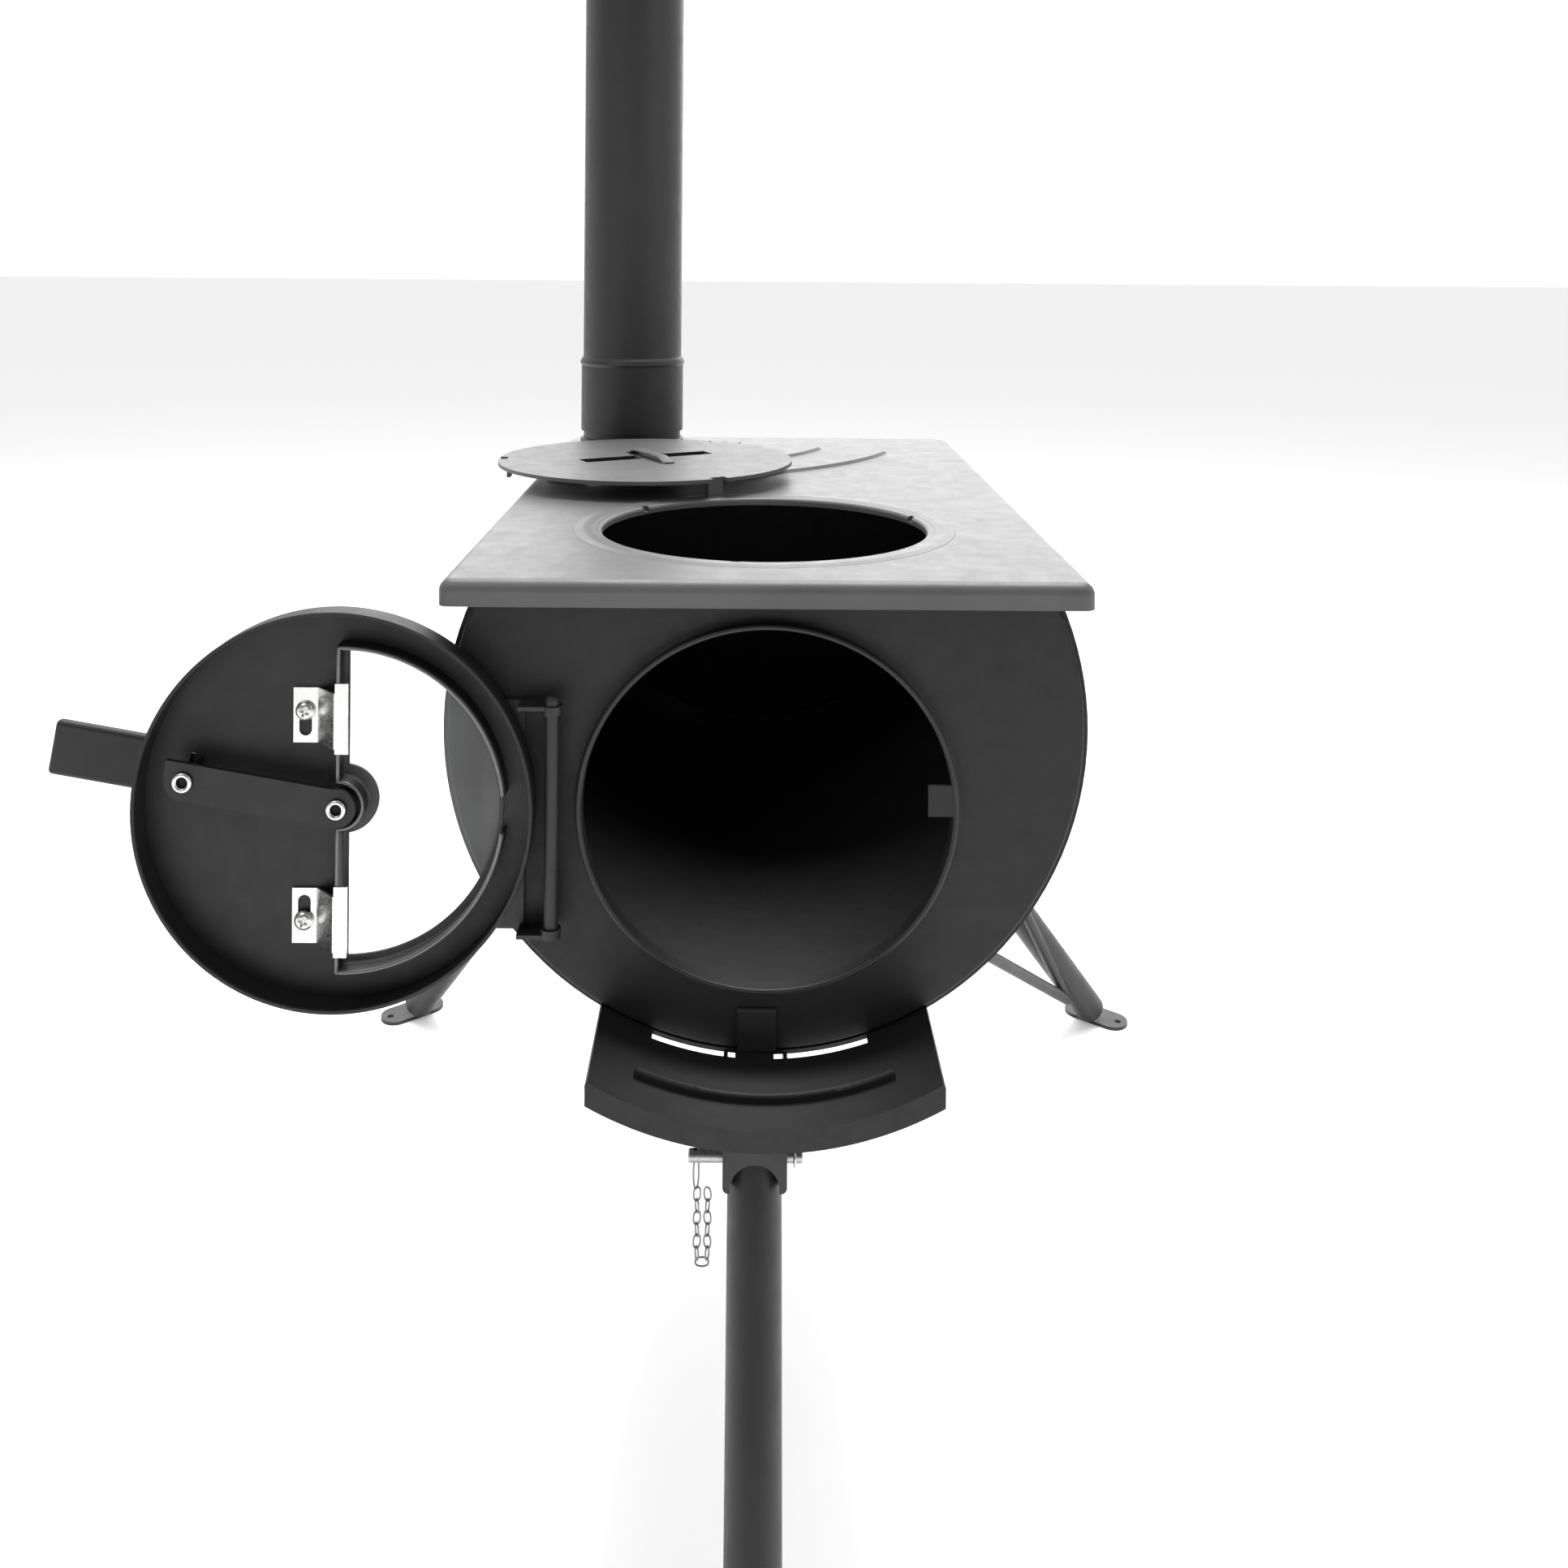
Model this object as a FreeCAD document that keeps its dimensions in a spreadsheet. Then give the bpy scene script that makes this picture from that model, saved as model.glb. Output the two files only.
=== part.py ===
import FreeCAD, Part
import math
import os
import Sketcher

# Portable wood-burning camp stove: a barrel firebox lying on its side, with a flat cooktop, a
# lift-out hob lid, a lift-off flue, a windowed door and three folding legs.
# Frame: +X to the right, +Z up, the front faces -Y. The origin is on the ground, on the centre
# line, under the face of the front disc. All sizes are millimetres and degrees.

doc = FreeCAD.newDocument("CampStove")
sheet = doc.addObject("Spreadsheet::Sheet", "Sizes")

SIZES = {
    # firebox
    "barrel_radius": 160, "barrel_wall": 2, "barrel_height": 486, "barrel_start": 3,
    "barrel_length": 512, "disc_gap": 2.3, "disc_sheet": 2, "disc_flange": 12, "disc_round": 1.5,
    # cooktop
    "cooktop_width": 322, "cooktop_rear": 15, "cooktop_overhang": 11, "cooktop_height": 562,
    "cooktop_sheet": 3, "cooktop_lip": 13, "cooktop_bend": 6, "front_corner": 6, "rear_corner": 20,
    # hob hole and lid
    "hob_distance": 131, "hob_radius": 97.5, "hob_flange_depth": 4.5, "hob_flange_wall": 3,
    "hob_notch": 5, "hob_notch_depth": 3, "hob_notch_floor": 1.5, "hob_notch_turn": 22,
    "lid_side": -82, "lid_distance": 311, "lid_radius": 103.5,
    "lid_sheet": 2.5, "lid_stand": 10.5, "tab_width": 11, "tab_sheet": 2.5, "tab_inset": 8.5,
    "lid_slot": 43, "lid_slot_width": 16, "lid_slot_gap": 12, "lid_turn": 28,
    "lid_slot_back": 8, "tab_turn": 62,
    # stiffening beads, pressed up
    "bead_side": -108, "bead_distance": 518, "bead_inner": 97, "bead_middle": 166,
    "bead_outer": 221, "bead_width": 8, "bead_height": 2, "bead_crown": 3.6, "bead_root": 0.2,
    "bead_turn": 22,
    # flue
    "flue_side": -105, "flue_distance": 473, "flue_radius": 40, "flue_wall": 1.2,
    "flue_ring_radius": 42, "flue_ring_height": 7.5, "flue_ring_round": 2, "spigot_radius": 39.4,
    "spigot_top": 630, "socket_bottom": 575.5, "socket_bore_gap": 0.3, "socket_height": 58,
    "swage_height": 6, "flue_length": 500,
    # door opening, collar and catch
    "opening_side": 1, "opening_height": 449.6, "opening_half_width": 91.2,
    "opening_half_height": 88.4, "collar_wall": 1.6, "collar_reach": 7.5, "collar_base": 3,
    "catch_reach": 12.5, "catch_low": 447, "catch_tall": 15, "catch_front": 7.4, "catch_sheet": 2,
    # hinge
    "hinge_side": -104.3, "hinge_front": 10.5, "hinge_low": 393.3, "hinge_tall": 103.3,
    "hinge_tube_radius": 3.5, "hinge_pin_radius": 2.25, "hinge_pin_gap": 0.05, "hinge_lug": 18,
    "hinge_play": 0.3, "lug_inset": 8, "lug_sheet": 2, "lug_clear": 0.5, "washer_radius": 5,
    "washer_height": 2.4, "strap_sheet": 2, "strap_width": 7, "strap_web": 21, "strap_inset": 6,
    "strap_eye": 1.5, "pin_head_radius": 3.5, "pin_head_height": 5,
    # door, as it stands open
    "door_height": 450.6, "door_radius": 96.9, "door_depth": 15.6, "door_sheet": 1.5,
    "door_back": 2.6, "door_round": 3, "window_radius": 74.8, "window_edge": 4.9,
    "window_bump": 17, "window_shift": 4, "glass_radius": 77.4, "glass_sheet": 4, "glass_edge": 3.3,
    "glass_bump": 12.6, "trim_wall": 2, "trim_gap": 0.3, "trim_height": 10, "trim_break": 18.5,
    "clip_flange": 6.5, "clip_foot": 12.5, "clip_slope": 10.5, "clip_foot_tall": 27,
    "clip_sheet": 1.2, "clip_upper": 494, "clip_lower": 395.6, "clip_above": 4.8,
    "clip_below": 2.4, "clip_slot": 6.2, "clip_slot_length": 8.8, "clip_slot_drop": 2.6,
    "clip_slot_inset": 6, "clip_shift": 2.2, "screw_radius": 5, "screw_height": 3,
    # latch
    "latch_pivot_side": -206.9, "latch_height": 452.8, "latch_tilt": 9.65, "latch_reach": 75.2,
    "latch_width": 18.2, "latch_sheet": 2.5, "latch_stand": 11.9, "latch_tongue": 85,
    "rivet_radius": 4.75, "rivet_shank": 3, "rivet_bore": 2.4, "rivet_head": 1.2,
    "spacer_radius": 4.5, "spacer_gap": 0.3, "rivet_gap": 0.3,
    "lever_stand": 0.5, "lever_width": 16, "grip_start": 100, "grip_length": 46, "grip_tall": 27,
    "grip_thick": 6, "latch_lower": 4.2, "latch_lift": 4.2, "slot_gap": 0.4, "slot_end": 2.5,
    # ash shelf
    "shelf_reach": 66, "shelf_half_angle": 30.5, "shelf_lip": 8, "rib_distance": 45, "rib_width": 4,
    "rib_height": 4, "rib_half_angle": 22.7, "shelf_gap": 7.5, "rib_round": 1.5, "strap_side": -3.5,
    "shelf_strap": 19, "shelf_strap_tall": 21, "slit_left_start": -55, "slit_left_end": -14,
    "slit_right_start": 5, "slit_right_end": 51,
    # front leg
    "front_leg_side": -4, "leg_radius": 13.45, "leg_wall": 2, "front_lean": 20.8,
    "front_pin_distance": 2.4, "front_pin_height": 274.5, "front_pin_radius": 3.25,
    "front_pin_gap": 0.1, "bracket_gap": 0.25, "bracket_wall": 2, "bracket_bottom": 266, "bracket_round": 3,
    "bracket_front": -14, "bracket_depth": 30, "arch_height": 280, "arch_width": 24,
    "pin_left": 33, "pin_right": 24, "pin_cross": 1.2, "pin_cross_inset": 3.5, "clip_wire": 1.2,
    "chain_size": 1.6, "chain_drop": 40, "chain_sag": 7, "chain_span": 13, "chain_rise": 18,
    "foot_length": 60, "foot_turn": 38, "foot_width": 28, "foot_sheet": 3,
    "peg_radius": 3, "peg_inset": 8,
    # rear legs
    "rear_pivot_side": 98.7, "rear_pivot_distance": 506, "rear_pivot_rise": 4,
    "rear_foot_side": 323, "rear_foot_distance": 652, "stay_pivot_side": 30,
    "stay_pivot_distance": 270, "stay_pivot_drop": 12, "stay_radius": 5, "stay_low": 31,
    "stay_inset": 12, "stay_forward": 15, "stay_seat_side": 120, "stay_seat_distance": 470,
    "seat_gap": 0.4, "rear_pin_radius": 4, "cheek_space": 23, "cheek_rise": 34, "cheek_lean": 22.7,
    "cheek_wall": 3, "cheek_width": 30, "knuckle_radius": 7,
    "knuckle_length": 14, "knuckle_pin_radius": 3, "knuckle_gap": 0.1, "cheek_gap": 0.3,
}


class Dim:
    """A length that carries its value now and the sheet formula it comes from."""

    def __init__(self, number, text=None):
        self.number = float(number)
        self.text = text or "%.6g" % number

    def __add__(self, other):
        other = dim(other)
        return Dim(self.number + other.number, "(%s + %s)" % (self.text, other.text))

    def __sub__(self, other):
        other = dim(other)
        return Dim(self.number - other.number, "(%s - %s)" % (self.text, other.text))

    def __mul__(self, other):
        other = dim(other)
        return Dim(self.number * other.number, "(%s * %s)" % (self.text, other.text))

    def __truediv__(self, other):
        other = dim(other)
        return Dim(self.number / other.number, "(%s / %s)" % (self.text, other.text))

    def __neg__(self):
        return Dim(-self.number, "(0 - %s)" % self.text)

    __radd__ = __add__
    __rmul__ = __mul__

    def __rsub__(self, other):
        return dim(other) - self


def dim(value):
    """Any plain number as a Dim."""
    return value if isinstance(value, Dim) else Dim(value)


def root(value):
    """Square root."""
    return Dim(math.sqrt(value.number), "sqrt(%s)" % value.text)


def sine(angle):
    """Sine of an angle in degrees."""
    return Dim(math.sin(math.radians(angle.number)), "sin(%s * 1 deg)" % angle.text)


def cosine(angle):
    """Cosine of an angle in degrees."""
    return Dim(math.cos(math.radians(angle.number)), "cos(%s * 1 deg)" % angle.text)


def arc_cosine(value):
    """The angle in degrees whose cosine this is."""
    return Dim(math.degrees(math.acos(value.number)), "(acos(%s) / 1 deg)" % value.text)


class Sizes:
    """The sheet's cells, by alias."""


S = Sizes()
for row, (name, number) in enumerate(SIZES.items(), 1):
    sheet.set("A%d" % row, name)
    sheet.set("B%d" % row, str(number))
    sheet.setAlias("B%d" % row, name)
    setattr(S, name, Dim(number, "Sizes." + name))
doc.recompute()

nodes = []
counter = [0]


# ---------------------------------------------------------------- building blocks
def new(kind, name):
    """A new document object with a running number, so that names never meet."""
    counter[0] += 1
    return doc.addObject(kind, "%s_%d" % (name, counter[0]))


def bind(obj, prop, value):
    """Tie a property to its sheet formula."""
    obj.setExpression(prop, dim(value).text)


def place(obj, at, turn=(0, 0, 0)):
    """Placement from a point and a turn: yaw about Z, pitch about Y, roll about X."""
    point = "; ".join(dim(value).text for value in at)
    angles = "; ".join(dim(value).text for value in turn)
    obj.setExpression("Placement", "placement(vector(%s); rotation(%s))" % (point, angles))
    return obj


def place_turned(obj, at, axis, angle):
    """Placement from a point and one turn about an axis."""
    point = "; ".join(dim(value).text for value in at)
    line = "; ".join(dim(value).text for value in axis)
    formula = "placement(vector(%s); rotation(vector(%s); %s))" % (point, line, dim(angle).text)
    obj.setExpression("Placement", formula)
    return obj


def box(size, at, turn=(0, 0, 0)):
    """Box from its lowest corner."""
    obj = new("Part::Box", "Box")
    for prop, value in zip(("Length", "Width", "Height"), size):
        bind(obj, prop, value)
    return place(obj, at, turn)


ALONG = {"x": (0, 90, 0), "y": (0, 0, -90), "z": (0, 0, 0)}


def rod(radius, length, at, along="z"):
    """Cylinder along an axis, from its start."""
    obj = new("Part::Cylinder", "Rod")
    bind(obj, "Radius", radius)
    bind(obj, "Height", length)
    return place(obj, at, ALONG[along])


def sector(radius, length, at, start, sweep):
    """Wedge of a cylinder along +Y; its angles run from +X down towards -Z."""
    obj = new("Part::Cylinder", "Sector")
    bind(obj, "Radius", radius)
    bind(obj, "Height", length)
    bind(obj, "Angle", sweep)
    return place(obj, at, (0, start, -90))


def strut(radius, start, end):
    """Cylinder from one point to another."""
    delta = [b - a for a, b in zip(start, end)]
    length = root(delta[0] * delta[0] + delta[1] * delta[1] + delta[2] * delta[2])
    obj = new("Part::Cylinder", "Strut")
    bind(obj, "Radius", radius)
    bind(obj, "Height", length)
    return place_turned(obj, start, (-delta[1], delta[0], 0), arc_cosine(delta[2] / length))


def oval(half_width, half_height, length, at):
    """Elliptical prism along -Y from its back face."""
    flat = new("Part::Ellipse", "Oval")
    wide = half_width.number >= half_height.number
    bind(flat, "MajorRadius", half_width if wide else half_height)
    bind(flat, "MinorRadius", half_height if wide else half_width)
    place(flat, at, (0, 0, 90) if wide else (0, 90, 90))
    solid = new("Part::Extrusion", "OvalPrism")
    solid.Base = flat
    solid.Dir = FreeCAD.Vector(0, -1, 0)
    solid.DirMode = "Custom"
    solid.Solid = True
    bind(solid, "LengthFwd", length)
    return solid


def cut(base, *tools):
    """Base less every tool."""
    for tool in tools:
        obj = new("Part::Cut", "Cut")
        obj.Base = base
        obj.Tool = tool
        base = obj
    return base


def fuse(*shapes):
    """One solid from touching solids."""
    obj = new("Part::MultiFuse", "Fuse")
    obj.Shapes = list(shapes)
    obj.Refine = True
    return obj


def common(*shapes):
    """What all the solids share."""
    obj = new("Part::MultiCommon", "Common")
    obj.Shapes = list(shapes)
    return obj


def rounded(base, radius, wanted):
    """Fillet on the edges that the test picks."""
    doc.recompute()
    obj = new("Part::Fillet", "Round")
    obj.Base = base
    size = dim(radius).number
    obj.Edges = [(i, size, size) for i, edge in enumerate(base.Shape.Edges, 1) if wanted(edge)]
    if not obj.Edges:
        raise ValueError("no edge to round on " + base.Name)
    return obj


def node(name, obj):
    """Name a finished sub-part."""
    obj.Label = name
    nodes.append(obj)
    return obj


def plane(body, role):
    """One of the body's own origin planes."""
    return [item for item in body.Origin.OriginFeatures if item.Role == role][0]


def new_sketch(body, role):
    """Sketch on an origin plane of its body."""
    sketch = body.newObject("Sketcher::SketchObject", "Sketch")
    sketch.AttachmentSupport = [(plane(body, role), "")]
    sketch.MapMode = "FlatFace"
    return sketch


def held(sketch, kind, places, value):
    """Dimension tied to the sheet."""
    value = dim(value)
    index = sketch.addConstraint(Sketcher.Constraint(kind, *places, value.number))
    sketch.setExpression("Constraints[%d]" % index, value.text + " * 1 mm")


def draw_circle(sketch, side, up, radius):
    """Circle by its centre and radius."""
    centre = FreeCAD.Vector(dim(side).number, dim(up).number, 0)
    circle = Part.Circle(centre, FreeCAD.Vector(0, 0, 1), dim(radius).number)
    item = sketch.addGeometry(circle)
    held(sketch, "DistanceX", (-1, 1, item, 3), side)
    held(sketch, "DistanceY", (-1, 1, item, 3), up)
    held(sketch, "Radius", (item,), radius)


def draw_outline(sketch, points):
    """Closed outline of straight runs."""
    places = [FreeCAD.Vector(dim(p[0]).number, dim(p[1]).number, 0) for p in points]
    items = []
    for start, end in zip(places, places[1:] + places[:1]):
        items.append(sketch.addGeometry(Part.LineSegment(start, end)))
    for first, second in zip(items, items[1:] + items[:1]):
        sketch.addConstraint(Sketcher.Constraint("Coincident", first, 2, second, 1))
    for item, point in zip(items, points):
        held(sketch, "DistanceX", (-1, 1, item, 1), point[0])
        held(sketch, "DistanceY", (-1, 1, item, 1), point[1])


def pad(body, sketch, length):
    """Extrude a sketch."""
    feature = body.newObject("PartDesign::Pad", "Pad")
    feature.Profile = sketch
    bind(feature, "Length", length)
    return feature


def rectangle(width, height, side=0, up=0):
    """Corners of a rectangle from its lower left corner."""
    return [(side, up), (side + width, up), (side + width, up + height), (side, up + height)]


# ---------------------------------------------------------------- firebox
cooktop_under = S.cooktop_height - S.cooktop_sheet
cooktop_depth = S.cooktop_overhang + S.barrel_start + S.barrel_length + S.cooktop_rear
barrel_low = S.barrel_height - S.barrel_radius
rear_pivot_height = barrel_low + S.rear_pivot_rise
stay_pivot_height = barrel_low - S.stay_pivot_drop
axis = (dim(0), S.barrel_start, S.barrel_height)
BIG = S.barrel_radius * 3


def above_cooktop():
    """Everything higher than the underside of the cooktop."""
    return box((BIG, BIG * 3, BIG), (-BIG / 2, -BIG, cooktop_under))


def make_shell():
    outer = rod(S.barrel_radius, S.barrel_length, axis, "y")
    inner = rod(S.barrel_radius - S.barrel_wall, S.barrel_length, axis, "y")
    return node("firebox_shell", cut(outer, inner, above_cooktop()))


disc_radius = S.barrel_radius - S.disc_gap


def make_front_plate():
    """Flanged disc, with its door opening drawn out into an oval collar."""
    disc = rod(disc_radius, S.disc_flange, (0, 0, S.barrel_height), "y")
    disc = rounded(disc, S.disc_round, lambda edge: edge.BoundBox.YMax < 0.01)
    pocket = rod(disc_radius - S.disc_sheet, S.disc_flange,
                 (0, S.disc_sheet, S.barrel_height), "y")
    centre = (S.opening_side, S.disc_sheet, S.opening_height)
    reach = S.collar_reach + S.disc_sheet
    collar = oval(S.opening_half_width + S.collar_wall, S.opening_half_height + S.collar_wall,
                  reach, centre)
    hole = oval(S.opening_half_width, S.opening_half_height, reach * 2,
                (S.opening_side, S.disc_sheet * 2, S.opening_height))
    plate = fuse(cut(disc, pocket), collar)
    plate = cut(plate, hole, above_cooktop())
    base_width = (S.opening_half_width + S.collar_wall).number * 2

    def collar_foot(edge):
        """The edge where the collar leaves the disc."""
        flat = abs(edge.BoundBox.YMin) < 0.01 and abs(edge.BoundBox.YMax) < 0.01
        return flat and abs(edge.BoundBox.XLength - base_width) < 0.1

    return node("front_plate", rounded(plate, S.collar_base, collar_foot))


def make_rear_plate():
    back = S.barrel_start + S.barrel_length
    disc = rod(disc_radius, S.disc_flange, (0, back - S.disc_flange, S.barrel_height), "y")
    pocket = rod(disc_radius - S.disc_sheet, S.disc_flange,
                 (0, back - S.disc_flange - S.disc_sheet, S.barrel_height), "y")
    return node("rear_plate", cut(disc, pocket, above_cooktop()))


def make_catch():
    """Small plate inside the collar that the latch tongue drops behind."""
    right = S.opening_side + S.opening_half_width
    tab = box((S.catch_reach + S.catch_sheet, S.catch_sheet, S.catch_tall),
              (right - S.catch_reach, -S.catch_front, S.catch_low))
    bore = oval(S.opening_half_width, S.opening_half_height, S.collar_reach * 4,
                (S.opening_side, S.collar_reach, S.opening_height))
    return node("catch_tab", common(tab, bore))


def make_cooktop():
    """Pressed tray upside down: flat top, down-turned rim, beads, hob hole and flue hole."""
    body = new("PartDesign::Body", "Cooktop")
    sketch = new_sketch(body, "XY_Plane")
    half = S.cooktop_width / 2
    draw_outline(sketch, rectangle(S.cooktop_width, cooktop_depth, -half, -S.cooktop_overhang))
    pad(body, sketch, S.cooktop_lip)
    place(body, (0, 0, S.cooktop_height - S.cooktop_lip))
    middle = (cooktop_depth / 2 - S.cooktop_overhang).number

    def upright(edge):
        return edge.BoundBox.ZLength > 1

    slab = rounded(body, S.front_corner, lambda e: upright(e) and e.BoundBox.YMax < middle)
    slab = rounded(slab, S.rear_corner, lambda e: upright(e) and e.BoundBox.YMin > middle
                   and e.BoundBox.YLength < 0.01)
    top = S.cooktop_height.number
    slab = rounded(slab, S.cooktop_bend, lambda e: e.BoundBox.ZMin > top - 0.01)
    wall = S.cooktop_sheet
    hollow = box((S.cooktop_width - wall * 2, cooktop_depth - wall * 2, S.cooktop_lip),
                 (-half + wall, -S.cooktop_overhang + wall, cooktop_under - S.cooktop_lip))
    hollow = rounded(hollow, S.front_corner - wall,
                     lambda e: upright(e) and e.BoundBox.YMax < middle)
    hollow = rounded(hollow, S.rear_corner - wall,
                     lambda e: upright(e) and e.BoundBox.YMin > middle
                     and e.BoundBox.YLength < 0.01)
    beads = [make_bead(radius) for radius in (S.bead_inner, S.bead_middle, S.bead_outer)]
    hob = rod(S.hob_radius, S.cooktop_lip * 2,
              (0, S.hob_distance, S.cooktop_height - S.cooktop_lip))
    flue = rod(S.spigot_radius, S.cooktop_lip * 2,
               (S.flue_side, S.flue_distance, S.cooktop_height - S.cooktop_lip))
    sheet_top = fuse(cut(slab, hollow), *beads)
    return node("cooktop_plate", cut(sheet_top, hob, flue))


def make_bead(radius):
    """Arc-shaped bead that stands up from the plate, with sloping sides and round ends."""
    obj = new("Part::Feature", "Bead")
    centre = FreeCAD.Vector(S.bead_side.number, S.bead_distance.number, S.cooktop_height.number)
    half = S.bead_width.number / 2
    size = radius.number
    crown = S.bead_crown.number / 2
    low = -S.bead_root.number
    high = S.bead_height.number
    corners = [(size - half, low), (size + half, low), (size + crown, high),
               (size - crown, high)]
    wire = Part.makePolygon([FreeCAD.Vector(x, 0, z) for x, z in corners + corners[:1]])
    left = S.cooktop_width.number / 2 - S.cooktop_bend.number - S.bead_width.number
    reach = (S.bead_side.number + left) / size
    last = 90 if reach > 1 else math.degrees(math.asin(reach))
    first = S.bead_turn.number
    ring = Part.Face(wire)
    ring.rotate(FreeCAD.Vector(), FreeCAD.Vector(0, 0, 1), -first)
    solid = ring.revolve(FreeCAD.Vector(), FreeCAD.Vector(0, 0, 1), -(90 - first + last))
    ends = []
    for angle in (-first, -(90 + last)):
        cone = Part.makeCone(half, crown, high - low)
        turn = math.radians(angle)
        cone.translate(FreeCAD.Vector(size * math.cos(turn), size * math.sin(turn), low))
        ends.append(cone)
    solid = solid.fuse(ends)
    solid.translate(centre)
    obj.Shape = solid
    return obj


def make_hob_ring():
    """Down-turned flange of the hob hole, with three notches for the lid's tabs."""
    low = cooktop_under - S.hob_flange_depth + S.cooktop_sheet
    at = (0, S.hob_distance, low)
    tall = S.hob_flange_depth
    ring = cut(rod(S.hob_radius, tall, at), rod(S.hob_radius - S.hob_flange_wall, tall, at))
    ring = rounded(ring, S.hob_flange_wall * 0.8,
                   lambda e: e.BoundBox.ZMin > (low + tall).number - 0.01
                   and e.BoundBox.XLength < 2 * (S.hob_radius.number - 1))
    for step in range(3):
        turn = S.hob_notch_turn + step * 120
        notch = box((S.hob_notch_depth * 2, S.hob_notch, tall * 2),
                    (S.hob_radius * cosine(turn), S.hob_distance + S.hob_radius * sine(turn),
                     low + S.hob_notch_floor), (turn - 180, 0, 0))
        ring = cut(ring, notch)
    return node("hob_ring", ring)


def make_lid():
    """Round lid on three bent tabs, with a raised bridge between two lifting slots."""
    top = S.cooktop_height + S.lid_stand
    body = new("PartDesign::Body", "Lid")
    sketch = new_sketch(body, "XY_Plane")
    draw_circle(sketch, 0, 0, S.lid_radius)
    pad(body, sketch, S.lid_sheet)
    place(body, (S.lid_side, S.lid_distance, top))
    lid = body
    slots = []
    tabs = []
    for step in range(3):
        turn = S.tab_turn + step * 120
        out = S.lid_radius - S.tab_inset
        notch_at = (S.lid_side + (out + S.tab_sheet) * cosine(turn) + S.tab_width / 2 * sine(turn),
                    S.lid_distance + (out + S.tab_sheet) * sine(turn)
                    - S.tab_width / 2 * cosine(turn), top - 1)
        slots.append(box((S.tab_inset * 2, S.tab_width, S.lid_sheet + 2), notch_at, (turn, 0, 0)))
        tab_at = (S.lid_side + out * cosine(turn) + S.tab_width / 2 * sine(turn),
                  S.lid_distance + out * sine(turn) - S.tab_width / 2 * cosine(turn),
                  S.cooktop_height)
        tabs.append(box((S.tab_sheet, S.tab_width, S.lid_stand), tab_at, (turn, 0, 0)))
    turn = S.lid_turn
    for side in (-1, 1):
        start = S.lid_slot_gap / 2 if side > 0 else -(S.lid_slot_gap / 2 + S.lid_slot)
        at = (S.lid_side + start * cosine(turn) + S.lid_slot_width / 2 * sine(turn),
              S.lid_distance + S.lid_slot_back + start * sine(turn)
              - S.lid_slot_width / 2 * cosine(turn),
              top - 1)
        slots.append(box((S.lid_slot, S.lid_slot_width, S.lid_sheet + 2), at, (turn, 0, 0)))
    lid = fuse(cut(lid, *slots), *tabs)
    return node("hob_lid", lid)


def make_flue_ring():
    """Ring and spigot fixed to the cooktop, for the flue to push onto."""
    at = (S.flue_side, S.flue_distance, S.cooktop_height)
    ring = rod(S.flue_ring_radius, S.flue_ring_height, at)
    ring_top = (at[2] + S.flue_ring_height).number
    ring = rounded(ring, S.flue_ring_round, lambda e: e.BoundBox.ZMin > ring_top - 0.1)
    spigot = rod(S.spigot_radius, S.spigot_top - cooktop_under, (at[0], at[1], cooktop_under))
    bore = rod(S.spigot_radius - S.flue_wall, S.spigot_top - cooktop_under + 2,
               (at[0], at[1], cooktop_under - 1))
    return node("flue_collar", cut(fuse(ring, spigot), bore))


def make_flue():
    """Flue section: a socket swaged up from the pipe, turned as one profile."""
    body = new("PartDesign::Body", "Flue")
    sketch = new_sketch(body, "XZ_Plane")
    wall = S.flue_wall
    socket = S.flue_radius + S.socket_bore_gap
    swage = S.socket_height - S.swage_height / 2
    outer = [(socket, 0), (socket + wall, 0), (socket + wall, swage - 2),
             (socket + wall * 2, swage), (socket + wall, S.socket_height),
             (S.flue_radius, S.socket_height + 2), (S.flue_radius, S.flue_length),
             (S.flue_radius - wall, S.flue_length), (S.flue_radius - wall, S.socket_height + 2),
             (socket, S.socket_height - 1)]
    draw_outline(sketch, outer)
    feature = body.newObject("PartDesign::Revolution", "Turn")
    feature.Profile = sketch
    feature.ReferenceAxis = (sketch, ["V_Axis"])
    feature.Angle = 360
    place(body, (S.flue_side, S.flue_distance, S.socket_bottom))
    return node("flue_section", body)


# ---------------------------------------------------------------- door
door_face = -S.door_back
floor_inner = door_face - S.door_sheet
door_rim = door_face - S.door_depth
hinge_y = -S.hinge_front
door_side = S.hinge_side * 2 - S.opening_side
hinge_top = S.hinge_low + S.hinge_tall


def make_hinge_tube():
    at = (S.hinge_side, hinge_y, S.hinge_low)
    tube = rod(S.hinge_tube_radius, S.hinge_tall, at)
    bore = rod(S.hinge_pin_radius + S.hinge_pin_gap, S.hinge_tall + 2,
               (at[0], at[1], S.hinge_low - 1))
    reach = S.hinge_front - S.hinge_pin_radius - S.hinge_pin_gap - S.lug_clear
    lugs = [box((S.lug_sheet, reach, S.hinge_lug), (S.hinge_side - S.lug_sheet / 2, -reach, low))
            for low in (S.hinge_low + S.lug_inset, hinge_top - S.lug_inset - S.hinge_lug)]
    return node("hinge_tube", cut(fuse(tube, *lugs), bore))


def make_hinge_pin():
    low = S.hinge_low - S.hinge_play - S.washer_height - S.strap_sheet
    high = hinge_top + S.hinge_play + S.washer_height + S.strap_sheet
    pin = rod(S.hinge_pin_radius, high - low, (S.hinge_side, hinge_y, low))
    head = rod(S.pin_head_radius, S.pin_head_height, (S.hinge_side, hinge_y, high))
    head = rounded(head, S.pin_head_radius * 0.8,
                   lambda e: e.BoundBox.ZMin > (high + S.pin_head_height).number - 0.1)
    return node("hinge_pin", fuse(pin, head))


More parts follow.
